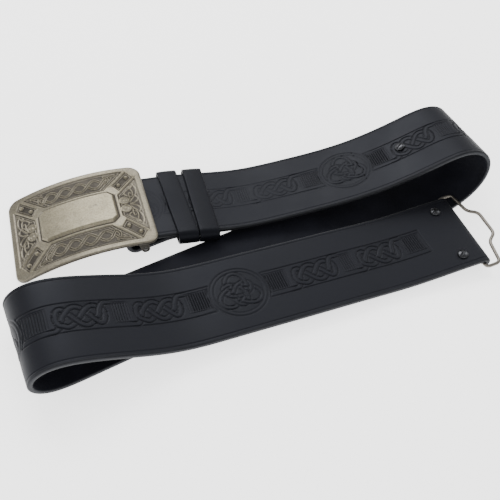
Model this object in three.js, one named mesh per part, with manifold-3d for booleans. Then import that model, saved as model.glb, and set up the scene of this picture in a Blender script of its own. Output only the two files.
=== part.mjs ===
// Leather kilt belt with a plate buckle, laid down and looped on itself.
// Millimetres, +Z up, Z = 0 is the surface the belt rests on.
import * as THREE from "three";
import Module from "manifold-3d";

const wasm = await Module();
wasm.setup();

// ---------------------------------------------------------------- driving dimensions
const STRAP_WIDTH = 57;
const STRAP_THICKNESS = 3;
const GAP = 0.3; // air left between neighbouring pieces
const BELT_END = 883; // where the strap starts to fold round the buckle's bar
const TAIL_FOLD_AT = 1.5; // station where the tail starts to fold under
const TAIL_FOLD_R = 2.9; // fold radius at mid thickness, round the wire loop
const TAIL_TAB = 31; // leather turned under at the tail, past the fold
const TAB_INSET = 3.5; // the turned-under tab is this much narrower on each side
const BUCKLE_FOLD_R = 4.5;
const RETURN_LENGTH = 64; // leather turned under at the buckle, past the fold
const BAR_S = 879; // station of the buckle's bar inside the loose fold
const BAR_DEPTH = 4; // below the strap's middle surface
const ANCHOR_S = 460; // station on the flat part that lies on the surface
const ANCHOR_XY = [9.373, -1.598];
const ANCHOR_YAW = 0.58608; // radians, heading of the belt at the anchor
const ORIGIN_SHIFT = [1.528, -1.14, 0]; // puts the bottom centre of the bounding box at 0,0,0

const KEEPERS = [
  // node, station of the middle, slant: station lost per mm across
  ["keeper_1", 851.7, 0.065],
  ["keeper_2", 836.3, 0],
];
const KEEPER_WIDTH = 13;
const KEEPER_THICKNESS = 1.7;
const KEEPER_REACH = 28.4; // half length of the straight part of the loop

const STUDS = [
  // node, station, offset across, length of the shank under the head
  ["stud_1", 11.2, -18.6, 5.6],
  ["stud_2", 14, 19.5, 5.6],
  ["stud_3", 693.2, -1, 3.6],
];
const STUD_HEAD_R = 3.3;
const STUD_HEAD_H = 1.7;
const STUD_SHANK_R = 1.8;
const STUD_HOLE_R = 2.5;

const WIRE_R = 1.1;
const WIRE_DROOP = -0.17; // radians below the strap's own plane
const WIRE_PATH = [
  // out from the bar, across; one half, mirrored
  [0, 31],
  [9.4, 31],
  [11.9, 14.2],
  [17.9, 9.6],
];

const BUCKLE = {
  centre: [-110.35, 10.95, 16.2], // of the outer face
  yaw: 0.349, // radians
  pitch: 0.158,
  roll: 0.004,
  bend_radius: 148.2,
  length: 91.75,
  height: 72,
  thickness: 2,
  taper: 0.2, // thicker at the free end, thinner over the strap
  corner: 7.9,
};
const CARTOUCHE = { half_length: 24.8, half_height: 13.4, cut: 3.6, rise: 1.5 };
const BOSS_R = 2.7;
const BOSSES = [
  // along, across; one quarter, mirrored
  [29.55, 18.9],
  [35.7, 25.5],
];
const BAR_R = 1.5;
const LUG = { across: 30.6, thickness: 2.2, radius: 2.6, flare: 0.8 };
const HOOK = { along: -31, width: 9, wire_room: 3, thickness: 1.4, reach: 5 };

// Bend of the belt along its length: station, curvature per metre
// (plus: the outer face is on the outside of the bend).
const BEND = [
  [0, 3.7],
  [25, 0.35],
  [50, -4.19],
  [80, 0.61],
  [110, -0.26],
  [140, -0.11],
  [170, -0.34],
  [195, -9.59],
  [215, -6.5],
  [230, 0.84],
  [245, 3.18],
  [258, 12.76],
  [270, 31.58],
  [282, 63.8],
  [295, 84.74],
  [308, 56.56],
  [322, 17.65],
  [340, 0],
  [365, 0],
  [540, 0],
  [565, 2.19],
  [585, 8.43],
  [600, 14.26],
  [612, 23.04],
  [624, 45.85],
  [636, 75.45],
  [648, 74.31],
  [660, 37.46],
  [675, 6.14],
  [695, -3.31],
  [720, -4.63],
  [750, -2.72],
  [780, -0.55],
  [810, -7.25],
  [840, 2.3],
  [884, 2.79],
];
// Skew of the bend lines: station, degrees from square across.
const SKEW = [
  [0, 2],
  [40, 5.14],
  [90, 5.98],
  [150, 5.84],
  [210, 3.51],
  [255, -0.52],
  [300, -5.58],
  [350, -10.57],
  [450, -8.14],
  [550, -4.8],
  [590, -5.47],
  [620, -11.58],
  [650, -4.94],
  [690, -3.55],
  [740, -1.9],
  [800, 8.06],
  [884, 0],
];

// ---------------------------------------------------------------- the belt's path
// Cubic interpolation with the mean of the neighbouring slopes as tangents.
function table(rows, scale) {
  const k = rows.map((r) => r[0]),
    v = rows.map((r) => r[1] * scale),
    d = [],
    n = k.length;
  for (let i = 0; i + 1 < n; i++) d.push((v[i + 1] - v[i]) / (k[i + 1] - k[i]));
  const m = v.map((_, i) =>
    i === 0
      ? d[0]
      : i === n - 1
        ? d[n - 2]
        : d[i] === 0 || d[i - 1] === 0
          ? 0
          : (d[i] + d[i - 1]) / 2,
  );
  return (s) => {
    if (s <= k[0]) return v[0];
    if (s >= k[n - 1]) return v[n - 1];
    let i = 0;
    while (i < n - 2 && s >= k[i + 1]) i++;
    const L = k[i + 1] - k[i],
      u = (s - k[i]) / L,
      u2 = u * u,
      u3 = u2 * u;
    return (
      (2 * u3 - 3 * u2 + 1) * v[i] +
      (u3 - 2 * u2 + u) * L * m[i] +
      (-2 * u3 + 3 * u2) * v[i + 1] +
      (u3 - u2) * L * m[i + 1]
    );
  };
}
const bendOf = table(BEND, 1e-3),
  skewOf = table(SKEW, Math.PI / 180);

// A turned-under end: a fold a little past half a turn, a straight run back towards
// the strap, and a bend that lays it parallel, all measured from the fold's start.
function turn(radius, over, run, level) {
  const fold = (Math.PI + over) * radius;
  return {
    fold,
    at(d, mirror) {
      if (d <= fold) return 1 / radius;
      const e = d - fold,
        follow = -mirror(e);
      if (e <= run) return follow;
      if (e <= run + level) return follow - over / level;
      return follow;
    },
  };
}
const TAIL = turn(TAIL_FOLD_R, 0.2, 9.3, 6);
const RETURN = turn(BUCKLE_FOLD_R, 0.26, 18.7, 8);
const S_START = TAIL_FOLD_AT - (TAIL.fold + TAIL_TAB),
  S_END = BELT_END + RETURN.fold + RETURN_LENGTH;

function curvature(s) {
  if (s < TAIL_FOLD_AT)
    return TAIL.at(TAIL_FOLD_AT - s, (e) => bendOf(TAIL_FOLD_AT + e));
  if (s > BELT_END) return RETURN.at(s - BELT_END, (e) => bendOf(BELT_END - e));
  return bendOf(s);
}
const skew = (s) => skewOf(Math.min(Math.max(s, 0), BELT_END));

// Frames of the belt every half millimetre: p on the middle surface, t along,
// b across towards the near side, n out of the embossed face.
const STEP = 0.5;
function rotate(v, axis, angle) {
  return v.applyAxisAngle(axis, angle);
}
function march(from, to, start) {
  const out = [];
  const sign = Math.sign(to - from),
    count = Math.round(Math.abs(to - from) / STEP);
  const p = start.p.clone(),
    t = start.t.clone(),
    b = start.b.clone(),
    n = start.n.clone();
  for (let i = 0; i <= count; i++) {
    const s = from + sign * i * STEP;
    out.push({ s, p: p.clone(), t: t.clone(), b: b.clone(), n: n.clone() });
    const mid = s + (sign * STEP) / 2,
      tb = Math.tan(skew(mid)),
      cb = 1 / Math.hypot(1, tb);
    const axis = b.clone().addScaledVector(t, tb).multiplyScalar(cb);
    const angle = sign * curvature(mid) * STEP * cb;
    for (const v of [t, b, n]) rotate(v, axis, angle / 2);
    p.addScaledVector(t, sign * STEP);
    for (const v of [t, b, n]) rotate(v, axis, angle / 2);
  }
  return out;
}
const anchor = (() => {
  const t = new THREE.Vector3(Math.cos(ANCHOR_YAW), Math.sin(ANCHOR_YAW), 0),
    n = new THREE.Vector3(0, 0, -1);
  return {
    p: new THREE.Vector3(ANCHOR_XY[0], ANCHOR_XY[1], STRAP_THICKNESS / 2),
    t,
    n,
    b: new THREE.Vector3().crossVectors(n, t),
  };
})();
const path = [
  ...march(ANCHOR_S, S_START - 1, anchor).reverse().slice(0, -1),
  ...march(ANCHOR_S, S_END + 1, anchor),
];
function frameAt(s) {
  const i = Math.min(
    Math.max(Math.floor((s - path[0].s) / STEP), 0),
    path.length - 2,
  );
  const a = path[i],
    c = path[i + 1],
    u = (s - a.s) / (c.s - a.s);
  const mix = (key) => a[key].clone().lerp(c[key], u);
  return {
    p: mix("p"),
    t: mix("t").normalize(),
    b: mix("b").normalize(),
    n: mix("n").normalize(),
  };
}
// A point at station s on the centre line, going t along the bend line there.
function onRuling(s, across, out) {
  const f = frameAt(s),
    tb = Math.tan(skew(s));
  return f.p
    .clone()
    .addScaledVector(f.b, across)
    .addScaledVector(f.t, across * tb)
    .addScaledVector(f.n, out);
}
// The frame at a flat position (station, across) of the strap.
function surfaceFrame(s, across) {
  let k = s;
  for (let i = 0; i < 6; i++) k = s - across * Math.tan(skew(k));
  const f = frameAt(k);
  f.p = onRuling(k, across, 0);
  return f;
}

// ---------------------------------------------------------------- mesh helpers
function manifoldOf(positions, triangles) {
  return new wasm.Manifold(
    new wasm.Mesh({
      numProp: 3,
      vertProperties: new Float32Array(positions.flatMap((v) => [v.x, v.y, v.z])),
      triVerts: new Uint32Array(triangles.flat()),
    }),
  );
}
function meshOf(name, solid, colour, roughness, metalness) {
  const m = solid.getMesh();
  const g = new THREE.BufferGeometry();
  g.setAttribute(
    "position",
    new THREE.BufferAttribute(new Float32Array(m.vertProperties), 3),
  );
  g.setIndex(new THREE.BufferAttribute(new Uint32Array(m.triVerts), 1));
  g.computeVertexNormals();
  const mesh = new THREE.Mesh(
    g,
    new THREE.MeshStandardMaterial({ color: colour, roughness, metalness }),
  );
  mesh.name = name;
  return mesh;
}
// A solid through closed rings of the same number of points, capped at both ends.
function loft(rings) {
  const n = rings[0].length,
    positions = rings.flat(),
    triangles = [];
  for (let r = 0; r + 1 < rings.length; r++)
    for (let i = 0; i < n; i++) {
      const a = r * n + i,
        b = r * n + ((i + 1) % n);
      triangles.push([a, b, b + n], [a, b + n, a + n]);
    }
  const last = (rings.length - 1) * n;
  for (let i = 1; i + 1 < n; i++)
    triangles.push([0, i + 1, i], [last, last + i, last + i + 1]);
  let solid = manifoldOf(positions, triangles);
  if (solid.volume() < 0)
    solid = manifoldOf(
      positions,
      triangles.map(([a, b, c]) => [a, c, b]),
    );
  return solid;
}
// A three.js geometry, moved by a matrix, as a solid.
function solidOf(geometry, matrix) {
  const g = (geometry.index ? geometry.toNonIndexed() : geometry).clone();
  g.applyMatrix4(matrix);
  const p = g.attributes.position,
    seen = new Map(),
    verts = [],
    index = [];
  for (let i = 0; i < p.count; i++) {
    const v = new THREE.Vector3().fromBufferAttribute(p, i);
    const key = [v.x, v.y, v.z].map((c) => Math.round(c * 1e4)).join();
    if (!seen.has(key)) {
      seen.set(key, verts.length);
      verts.push(v);
    }
    index.push(seen.get(key));
  }
  const triangles = [];
  for (let i = 0; i < index.length; i += 3) {
    const t = index.slice(i, i + 3);
    if (new Set(t).size === 3) triangles.push(t);
  }
  return manifoldOf(verts, triangles);
}
const basis = (x, y, z, p) =>
  new THREE.Matrix4().makeBasis(x, y, z).setPosition(p);
// A turned piece about the frame's n axis: profile of [radius, height].
function turned(profile, segments, frame) {
  const lathe = new THREE.LatheGeometry(
    profile.map(([r, h]) => new THREE.Vector2(r, h)),
    segments,
  );
  const x = new THREE.Vector3().crossVectors(frame.n, frame.b).normalize();
  return solidOf(lathe, basis(frame.b, frame.n, x.negate(), frame.p));
}

// ---------------------------------------------------------------- strap
function stations() {
  const out = [];
  let s = S_START;
  while (s < S_END - 0.4) {
    out.push(s);
    const tight = Math.max(
      Math.abs(curvature(s + 0.3)),
      Math.abs(curvature(s + 3)),
      Math.abs(curvature(s + 8)) * 0.7,
    );
    s += tight > 0.15 ? 0.16 / tight : tight > 0.03 ? 3 : tight > 0.006 ? 6 : 14;
  }
  out.push(S_END);
  return out;
}
function strapSolid() {
  const h = STRAP_WIDTH / 2,
    o = STRAP_THICKNESS / 2,
    bevel = 0.5;
  const section = [
    [-h, o - bevel],
    [-h + bevel, o],
    [h - bevel, o],
    [h, o - bevel],
    [h, -o],
    [-h, -o],
  ];
  // full width to the end of the belt, narrower where it is turned under
  const trim = (s) => {
    const u = ((TAIL_FOLD_AT - s) / TAIL.fold - 0.55) / 0.35,
      v = Math.min(Math.max(u, 0), 1);
    return TAB_INSET * v * v * (3 - 2 * v);
  };
  let solid = loft(
    stations().map((s) =>
      section.map(([a, n]) => onRuling(s, a - Math.sign(a) * trim(s), n)),
    ),
  );
  for (const [, s, across, depth] of STUDS) {
    const f = surfaceFrame(s, across);
    const top = 6,
      low = -(depth + 3);
    solid = solid.subtract(
      turned(
        [
          [0, low],
          [STUD_HOLE_R, low],
          [STUD_HOLE_R, top],
          [0, top],
        ],
        16,
        f,
      ),
    );
  }
  return solid;
}

// ---------------------------------------------------------------- keepers
// A closed loop round the strap and the leather turned under it.
function keeperSolid(s, slant) {
  const low = -(STRAP_THICKNESS + GAP) - STRAP_THICKNESS / 2 - GAP,
    high = STRAP_THICKNESS / 2 + GAP,
    mid = (low + high) / 2,
    r = (high - low) / 2;
  const outline = (grow) => {
    const pts = [],
      n = 10;
    for (const side of [1, -1])
      for (let i = 0; i <= n; i++) {
        const a = -Math.PI / 2 + (Math.PI * i) / n;
        pts.push([
          side * (KEEPER_REACH + (r + grow) * Math.cos(a)),
          mid + side * (r + grow) * Math.sin(a),
        ]);
      }
    return pts;
  };
  const band = (grow, extra) => {
    const rings = [];
    for (const u of [-1, 0, 1]) {
      const at = s + (u * KEEPER_WIDTH) / 2,
        f = frameAt(at);
      rings.push(
        outline(grow).map(([a, n]) =>
          f.p
            .clone()
            .addScaledVector(f.b, a)
            .addScaledVector(f.n, n)
            .addScaledVector(f.t, u * extra - slant * a),
        ),
      );
    }
    return loft(rings);
  };
  return band(KEEPER_THICKNESS, 0).subtract(band(0, 1));
}

// ---------------------------------------------------------------- studs
function studSolid(s, across, depth) {
  const f = surfaceFrame(s, across),
    base = STRAP_THICKNESS / 2 + GAP,
    profile = [
      [0, base - depth],
      [STUD_SHANK_R, base - depth],
      [STUD_SHANK_R, base],
      [STUD_HEAD_R, base],
    ];
  const steps = 5;
  for (let i = 0; i <= steps; i++) {
    const a = (Math.PI / 2) * (i / steps);
    profile.push([
      STUD_HEAD_R * Math.cos(a),
      base + 0.5 + (STUD_HEAD_H - 0.5) * Math.sin(a),
    ]);
  }
  profile[profile.length - 1][0] = 0;
  let solid = turned(profile, 20, f);
  const slot = new THREE.BoxGeometry(2 * STUD_HEAD_R + 2, 0.9, 1.6);
  const dir = f.t.clone().addScaledVector(f.b, 0.6).normalize(),
    other = new THREE.Vector3().crossVectors(f.n, dir);
  solid = solid.subtract(
    solidOf(
      slot,
      basis(
        dir,
        other,
        f.n,
        f.p.clone().addScaledVector(f.n, base + STUD_HEAD_H),
      ),
    ),
  );
  return solid;
}

// ---------------------------------------------------------------- wire loop
function wireSolid() {
  const f = frameAt(TAIL_FOLD_AT),
    axisDir = f.b
      .clone()
      .addScaledVector(f.t, Math.tan(skew(TAIL_FOLD_AT)))
      .normalize();
  const centre = f.p.clone().addScaledVector(f.n, -TAIL_FOLD_R);
  const away = new THREE.Vector3().crossVectors(f.n, axisDir).normalize();
  if (away.dot(f.t) > 0) away.negate();
  const out = away
    .clone()
    .multiplyScalar(Math.cos(WIRE_DROOP))
    .addScaledVector(f.n, -Math.sin(WIRE_DROOP));
  const point = ([u, v]) =>
    centre.clone().addScaledVector(out, u).addScaledVector(axisDir, v);
  const half = WIRE_PATH.map((q) => [...q]);
  const corners = [
    ...half,
    ...half
      .slice()
      .reverse()
      .map(([u, v]) => [u, -v]),
  ];
  // round each corner
  const pts = [],
    n = corners.length;
  for (let i = 0; i < n; i++) {
    const a = corners[(i + n - 1) % n],
      b = corners[i],
      c = corners[(i + 1) % n];
    const la = Math.hypot(a[0] - b[0], a[1] - b[1]),
      lc = Math.hypot(c[0] - b[0], c[1] - b[1]);
    const cut = Math.min(2.6, la * 0.45, lc * 0.45);
    const pa = [b[0] + ((a[0] - b[0]) * cut) / la, b[1] + ((a[1] - b[1]) * cut) / la],
      pc = [b[0] + ((c[0] - b[0]) * cut) / lc, b[1] + ((c[1] - b[1]) * cut) / lc];
    for (const u of [0, 0.25, 0.5, 0.75, 1]) {
      const w = [(1 - u) * (1 - u), 2 * u * (1 - u), u * u];
      pts.push([
        w[0] * pa[0] + w[1] * b[0] + w[2] * pc[0],
        w[0] * pa[1] + w[1] * b[1] + w[2] * pc[1],
      ]);
    }
  }
  const up = new THREE.Vector3().crossVectors(out, axisDir).normalize();
  const rings = pts.map((q, i) => {
    const p = point(q),
      before = point(pts[(i + pts.length - 1) % pts.length]),
      after = point(pts[(i + 1) % pts.length]);
    const along = after.sub(before).normalize(),
      side = new THREE.Vector3().crossVectors(up, along).normalize();
    const ring = [];
    for (let k = 0; k < 10; k++) {
      const a = (2 * Math.PI * k) / 10;
      ring.push(
        p
          .clone()
          .addScaledVector(side, WIRE_R * Math.cos(a))
          .addScaledVector(up, WIRE_R * Math.sin(a)),
      );
    }
    return ring;
  });
  const count = rings.length,
    m = 10,
    triangles = [];
  for (let r = 0; r < count; r++)
    for (let i = 0; i < m; i++) {
      const a = r * m + i,
        b = r * m + ((i + 1) % m),
        c = ((r + 1) % count) * m + i,
        d = ((r + 1) % count) * m + ((i + 1) % m);
      triangles.push([a, b, d], [a, d, c]);
    }
  let solid = manifoldOf(rings.flat(), triangles);
  if (solid.volume() < 0)
    solid = manifoldOf(
      rings.flat(),
      triangles.map(([a, b, c]) => [a, c, b]),
    );
  return { solid, centre, axisDir };
}

// ---------------------------------------------------------------- buckle
// The plate's own frame: x along (towards the strap), y across to the near side, z up.
const plateFrame = (() => {
  const x = new THREE.Vector3(1, 0, 0),
    y = new THREE.Vector3(0, -1, 0),
    z = new THREE.Vector3(0, 0, 1);
  for (const v of [x, y]) v.applyAxisAngle(new THREE.Vector3(0, 0, 1), BUCKLE.yaw);
  for (const v of [x, z]) v.applyAxisAngle(y, BUCKLE.pitch);
  for (const v of [y, z]) v.applyAxisAngle(x, BUCKLE.roll);
  return { x, y, z, p: new THREE.Vector3(...BUCKLE.centre) };
})();
// u along the bent plate, v across, w above its outer face.
function onPlate(u, v, w) {
  const R = BUCKLE.bend_radius,
    a = u / R,
    f = plateFrame;
  return f.p
    .clone()
    .addScaledVector(f.x, Math.sin(a) * (R + w))
    .addScaledVector(f.y, v)
    .addScaledVector(f.z, Math.cos(a) * (R + w) - R);
}
// A slab on the bent plate: half height as a function of u.
function slab(us, half, w0, w1) {
  return loft(
    us.map((u) => {
      const h = half(u),
        low = typeof w0 === "function" ? w0(u) : w0;
      return [
        onPlate(u, -h, low),
        onPlate(u, h, low),
        onPlate(u, h, w1),
        onPlate(u, -h, w1),
      ];
    }),
  );
}
function buckleSolids() {
  const L = BUCKLE.length / 2,
    H = BUCKLE.height / 2,
    r = BUCKLE.corner;
  const us = [];
  for (let i = 0; i <= 5; i++) us.push(-L + r - r * Math.cos((i / 5) * (Math.PI / 2)));
  for (let i = 1; i < 12; i++) us.push(-L + r + ((2 * L - 2 * r) * i) / 12);
  for (let i = 0; i <= 5; i++) us.push(L - r + r * Math.sin((i / 5) * (Math.PI / 2)));
  const half = (u) => {
    const d = Math.max(Math.abs(u) - (L - r), 0);
    return H - r + Math.sqrt(Math.max(r * r - d * d, 0));
  };
  let plate = slab(us, half, (u) => -BUCKLE.thickness + (BUCKLE.taper * u) / L, 0);
  const c = CARTOUCHE,
    cu = [-c.half_length, -c.half_length + c.cut];
  for (let i = 1; i < 6; i++)
    cu.push(-c.half_length + c.cut + (2 * (c.half_length - c.cut) * i) / 6);
  cu.push(c.half_length - c.cut, c.half_length);
  plate = plate.add(
    slab(
      cu,
      (u) => c.half_height - Math.max(Math.abs(u) - (c.half_length - c.cut), 0),
      -0.5,
      c.rise,
    ),
  );
  for (const [bu, bv] of BOSSES)
    for (const su of [-1, 1])
      for (const sv of [-1, 1]) {
        const up = onPlate(su * bu, sv * bv, 1)
          .sub(onPlate(su * bu, sv * bv, 0))
          .normalize();
        const f = {
          p: onPlate(su * bu, sv * bv, 0),
          n: up,
          b: plateFrame.y,
        };
        const profile = [[0, -1], [BOSS_R, -1]];
        for (let i = 0; i <= 4; i++) {
          const a = (Math.PI / 2) * (i / 4);
          profile.push([i === 4 ? 0 : BOSS_R * Math.cos(a), 0.3 + 1.7 * Math.sin(a)]);
        }
        plate = plate.add(turned(profile, 14, f));
      }
  // the bar, in the middle of the strap's fold
  const end = frameAt(BAR_S);
  const bar = end.p.clone().addScaledVector(end.n, -BAR_DEPTH);
  const rel = bar.clone().sub(plateFrame.p),
    bx = rel.dot(plateFrame.x),
    by = rel.dot(plateFrame.y),
    bz = rel.dot(plateFrame.z);
  // level with the leather, square to the plate in plan
  const lean = 0.9 * (end.b.z - plateFrame.y.z);
  const barDir = plateFrame.y.clone().addScaledVector(plateFrame.z, lean).normalize();
  const barAt = (v) => bar.clone().addScaledVector(barDir, v - by);
  // lugs: a rounded tab on each side, drilled for the bar
  const uBar = Math.asin(bx / BUCKLE.bend_radius) * BUCKLE.bend_radius;
  const high = (p) => p.clone().sub(plateFrame.p).dot(plateFrame.z);
  const inPlate = high(onPlate(uBar + LUG.radius + LUG.flare, 0, -0.9));
  for (const side of [-1, 1]) {
    const shape = new THREE.Shape();
    const R = LUG.radius,
      v = by + (side > 0 ? LUG.across : -LUG.across - LUG.thickness),
      roof = inPlate - high(barAt(v));
    shape.moveTo(-R - LUG.flare, roof);
    shape.lineTo(-R, 0);
    for (let i = 1; i < 12; i++) {
      const a = Math.PI + (Math.PI * i) / 12;
      shape.lineTo(R * Math.cos(a), R * Math.sin(a));
    }
    shape.lineTo(R, 0);
    shape.lineTo(R + LUG.flare, roof);
    const hole = new THREE.Path();
    const hr = BAR_R + GAP;
    for (let i = 0; i < 16; i++) {
      const a = (-2 * Math.PI * i) / 16;
      if (i === 0) hole.moveTo(hr * Math.cos(a), hr * Math.sin(a));
      else hole.lineTo(hr * Math.cos(a), hr * Math.sin(a));
    }
    hole.closePath();
    shape.holes.push(hole);
    const lug = new THREE.ExtrudeGeometry(shape, {
      depth: LUG.thickness,
      bevelEnabled: false,
    });
    plate = plate.add(
      solidOf(lug, basis(plateFrame.x, plateFrame.z, plateFrame.y, barAt(v))),
    );
  }
  // hook at the back of the free end: a post with a lip that points to the strap
  const hookShape = new THREE.Shape();
  const t = HOOK.thickness,
    d = HOOK.wire_room;
  hookShape.moveTo(0, 0.8);
  hookShape.lineTo(0, -d - t);
  hookShape.lineTo(HOOK.reach, -d - t);
  hookShape.lineTo(HOOK.reach, -d);
  hookShape.lineTo(t, -d);
  hookShape.lineTo(t, 0.8);
  const hookAt = onPlate(HOOK.along, 0, -BUCKLE.thickness);
  const nrm = onPlate(HOOK.along, 0, 1).sub(onPlate(HOOK.along, 0, 0)).normalize(),
    along = new THREE.Vector3().crossVectors(plateFrame.y, nrm).normalize();
  if (along.dot(plateFrame.x) < 0) along.negate();
  const third = new THREE.Vector3().crossVectors(along, nrm);
  const hook = new THREE.ExtrudeGeometry(hookShape, {
    depth: HOOK.width,
    bevelEnabled: false,
  });
  plate = plate.add(
    solidOf(
      hook,
      basis(along, nrm, third, hookAt.clone().addScaledVector(third, -HOOK.width / 2)),
    ),
  );
  // bar
  const span = LUG.across + LUG.thickness;
  const barFrame = { p: barAt(by - span), n: barDir, b: plateFrame.x };
  const bevel = 0.3;
  const barSolid = turned(
    [
      [0, 0],
      [BAR_R - bevel, 0],
      [BAR_R, bevel],
      [BAR_R, 2 * span - bevel],
      [BAR_R - bevel, 2 * span],
      [0, 2 * span],
    ],
    16,
    barFrame,
  );
  return { plate, barSolid, barCentre: bar, barDir };
}

// ---------------------------------------------------------------- the object
const LEATHER = 0x17181c,
  PEWTER = 0x9c978a,
  NICKEL = 0xb9b7b0;
const root = new THREE.Group();
root.add(meshOf("strap", strapSolid(), LEATHER, 0.6, 0));
for (const [name, s, slant] of KEEPERS)
  root.add(meshOf(name, keeperSolid(s, slant), LEATHER, 0.55, 0));
for (const [name, s, across, depth] of STUDS)
  root.add(meshOf(name, studSolid(s, across, depth), NICKEL, 0.3, 1));
const wire = wireSolid();
root.add(meshOf("wire_loop", wire.solid, NICKEL, 0.3, 1));
const buckle = buckleSolids();
root.add(meshOf("buckle_plate", buckle.plate, PEWTER, 0.4, 1));
root.add(meshOf("buckle_bar", buckle.barSolid, PEWTER, 0.4, 1));
root.position.set(...ORIGIN_SHIFT);

export default root;
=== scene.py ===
import math

import bpy
import numpy as np
from mathutils import Matrix, Vector


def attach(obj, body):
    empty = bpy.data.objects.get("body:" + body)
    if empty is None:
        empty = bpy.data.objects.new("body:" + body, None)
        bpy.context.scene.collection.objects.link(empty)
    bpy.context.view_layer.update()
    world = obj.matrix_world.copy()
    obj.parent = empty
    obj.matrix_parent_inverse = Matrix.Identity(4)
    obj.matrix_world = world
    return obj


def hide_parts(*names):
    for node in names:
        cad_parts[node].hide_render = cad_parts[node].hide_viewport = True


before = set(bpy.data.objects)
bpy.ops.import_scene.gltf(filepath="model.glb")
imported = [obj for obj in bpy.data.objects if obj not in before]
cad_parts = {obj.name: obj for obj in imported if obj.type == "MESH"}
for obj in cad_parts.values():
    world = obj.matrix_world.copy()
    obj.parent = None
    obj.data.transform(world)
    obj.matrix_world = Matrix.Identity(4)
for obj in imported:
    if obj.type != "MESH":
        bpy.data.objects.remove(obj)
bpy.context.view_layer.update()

# Everything below is worked out in millimetres and placed in metres.
MM = 1e-3
STRAP_WIDTH = 57.0
STRAP_THICKNESS = 3.0
GAP = 0.3
BELT_END = 883.0
TAIL_FOLD_AT = 1.5
TAIL_FOLD_R = 2.9
TAIL_TAB = 31.0
TAB_INSET = 3.5
BUCKLE_FOLD_R = 4.5
RETURN_LENGTH = 64.0
BAR_S = 879.0
BAR_DEPTH = 4.0
ANCHOR_S = 460.0
ANCHOR_XY = (9.373, -1.598)
ANCHOR_YAW = 0.58608
SHIFT = np.array([1.528, -1.14, 0.0])
STEP = 0.5

BEND = [
    (0, 3.7), (25, 0.35), (50, -4.19), (80, 0.61), (110, -0.26), (140, -0.11),
    (170, -0.34), (195, -9.59), (215, -6.5), (230, 0.84), (245, 3.18), (258, 12.76),
    (270, 31.58), (282, 63.8), (295, 84.74), (308, 56.56), (322, 17.65), (340, 0),
    (365, 0), (540, 0), (565, 2.19), (585, 8.43), (600, 14.26), (612, 23.04),
    (624, 45.85), (636, 75.45), (648, 74.31), (660, 37.46), (675, 6.14), (695, -3.31),
    (720, -4.63), (750, -2.72), (780, -0.55), (810, -7.25), (840, 2.3), (884, 2.79),
]
SKEW = [
    (0, 2), (40, 5.14), (90, 5.98), (150, 5.84), (210, 3.51), (255, -0.52),
    (300, -5.58), (350, -10.57), (450, -8.14), (550, -4.8), (590, -5.47),
    (620, -11.58), (650, -4.94), (690, -3.55), (740, -1.9), (800, 8.06), (884, 0),
]


# ---------------------------------------------------------------- the belt's path
def table(rows, scale):
    k = np.array([r[0] for r in rows], float)
    v = np.array([r[1] for r in rows], float) * scale
    d = np.diff(v) / np.diff(k)
    m = np.empty_like(v)
    m[0], m[-1] = d[0], d[-1]
    for i in range(1, len(v) - 1):
        m[i] = 0.0 if d[i] == 0 or d[i - 1] == 0 else (d[i] + d[i - 1]) / 2

    def at(s):
        s = np.asarray(s, float)
        i = np.clip(np.searchsorted(k, s, side="right") - 1, 0, len(k) - 2)
        length = k[i + 1] - k[i]
        u = np.clip((s - k[i]) / length, 0, 1)
        u2, u3 = u * u, u * u * u
        return (
            (2 * u3 - 3 * u2 + 1) * v[i]
            + (u3 - 2 * u2 + u) * length * m[i]
            + (-2 * u3 + 3 * u2) * v[i + 1]
            + (u3 - u2) * length * m[i + 1]
        )

    return at


bend_of = table(BEND, 1e-3)
skew_of = table(SKEW, math.pi / 180)
TAIL = (TAIL_FOLD_R, 0.2, 9.3, 6.0)
RETURN = (BUCKLE_FOLD_R, 0.26, 18.7, 8.0)


def fold_length(turn):
    return (math.pi + turn[1]) * turn[0]


def turned_under(turn, d, mirror):
    radius, over, run, level = turn
    e = d - fold_length(turn)
    follow = -mirror(np.maximum(e, 0))
    out = np.where(e <= run, follow, np.where(e <= run + level, follow - over / level, follow))
    return np.where(e <= 0, 1 / radius, out)


S_START = TAIL_FOLD_AT - (fold_length(TAIL) + TAIL_TAB)
S_END = BELT_END + fold_length(RETURN) + RETURN_LENGTH


def curvature(s):
    s = np.asarray(s, float)
    main = bend_of(np.clip(s, 0, BELT_END))
    tail = turned_under(TAIL, TAIL_FOLD_AT - s, lambda e: bend_of(TAIL_FOLD_AT + e))
    back = turned_under(RETURN, s - BELT_END, lambda e: bend_of(BELT_END - e))
    return np.where(s < TAIL_FOLD_AT, tail, np.where(s > BELT_END, back, main))


def skew(s):
    return skew_of(np.clip(s, 0, BELT_END))


def rotation(axis, angle):
    x, y, z = axis
    c, s = math.cos(angle), math.sin(angle)
    k = 1 - c
    return np.array([
        [c + x * x * k, x * y * k - z * s, x * z * k + y * s],
        [y * x * k + z * s, c + y * y * k, y * z * k - x * s],
        [z * x * k - y * s, z * y * k + x * s, c + z * z * k],
    ])


def march(a, b, start):
    sign = 1.0 if b > a else -1.0
    count = int(round(abs(b - a) / STEP))
    mids = a + sign * (np.arange(count + 1) + 0.5) * STEP
    kap = curvature(mids)
    tb = np.tan(skew(mids))
    cb = 1 / np.sqrt(1 + tb * tb)
    p, t, across, n = (x.copy() for x in start)
    rows = []
    for i in range(count + 1):
        rows.append(np.concatenate([[a + sign * i * STEP], p, t, across, n]))
        axis = (across + t * tb[i]) * cb[i]
        half = rotation(axis, sign * kap[i] * STEP * cb[i] / 2)
        t, across, n = half @ t, half @ across, half @ n
        p = p + t * sign * STEP
        t, across, n = half @ t, half @ across, half @ n
    return rows


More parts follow.
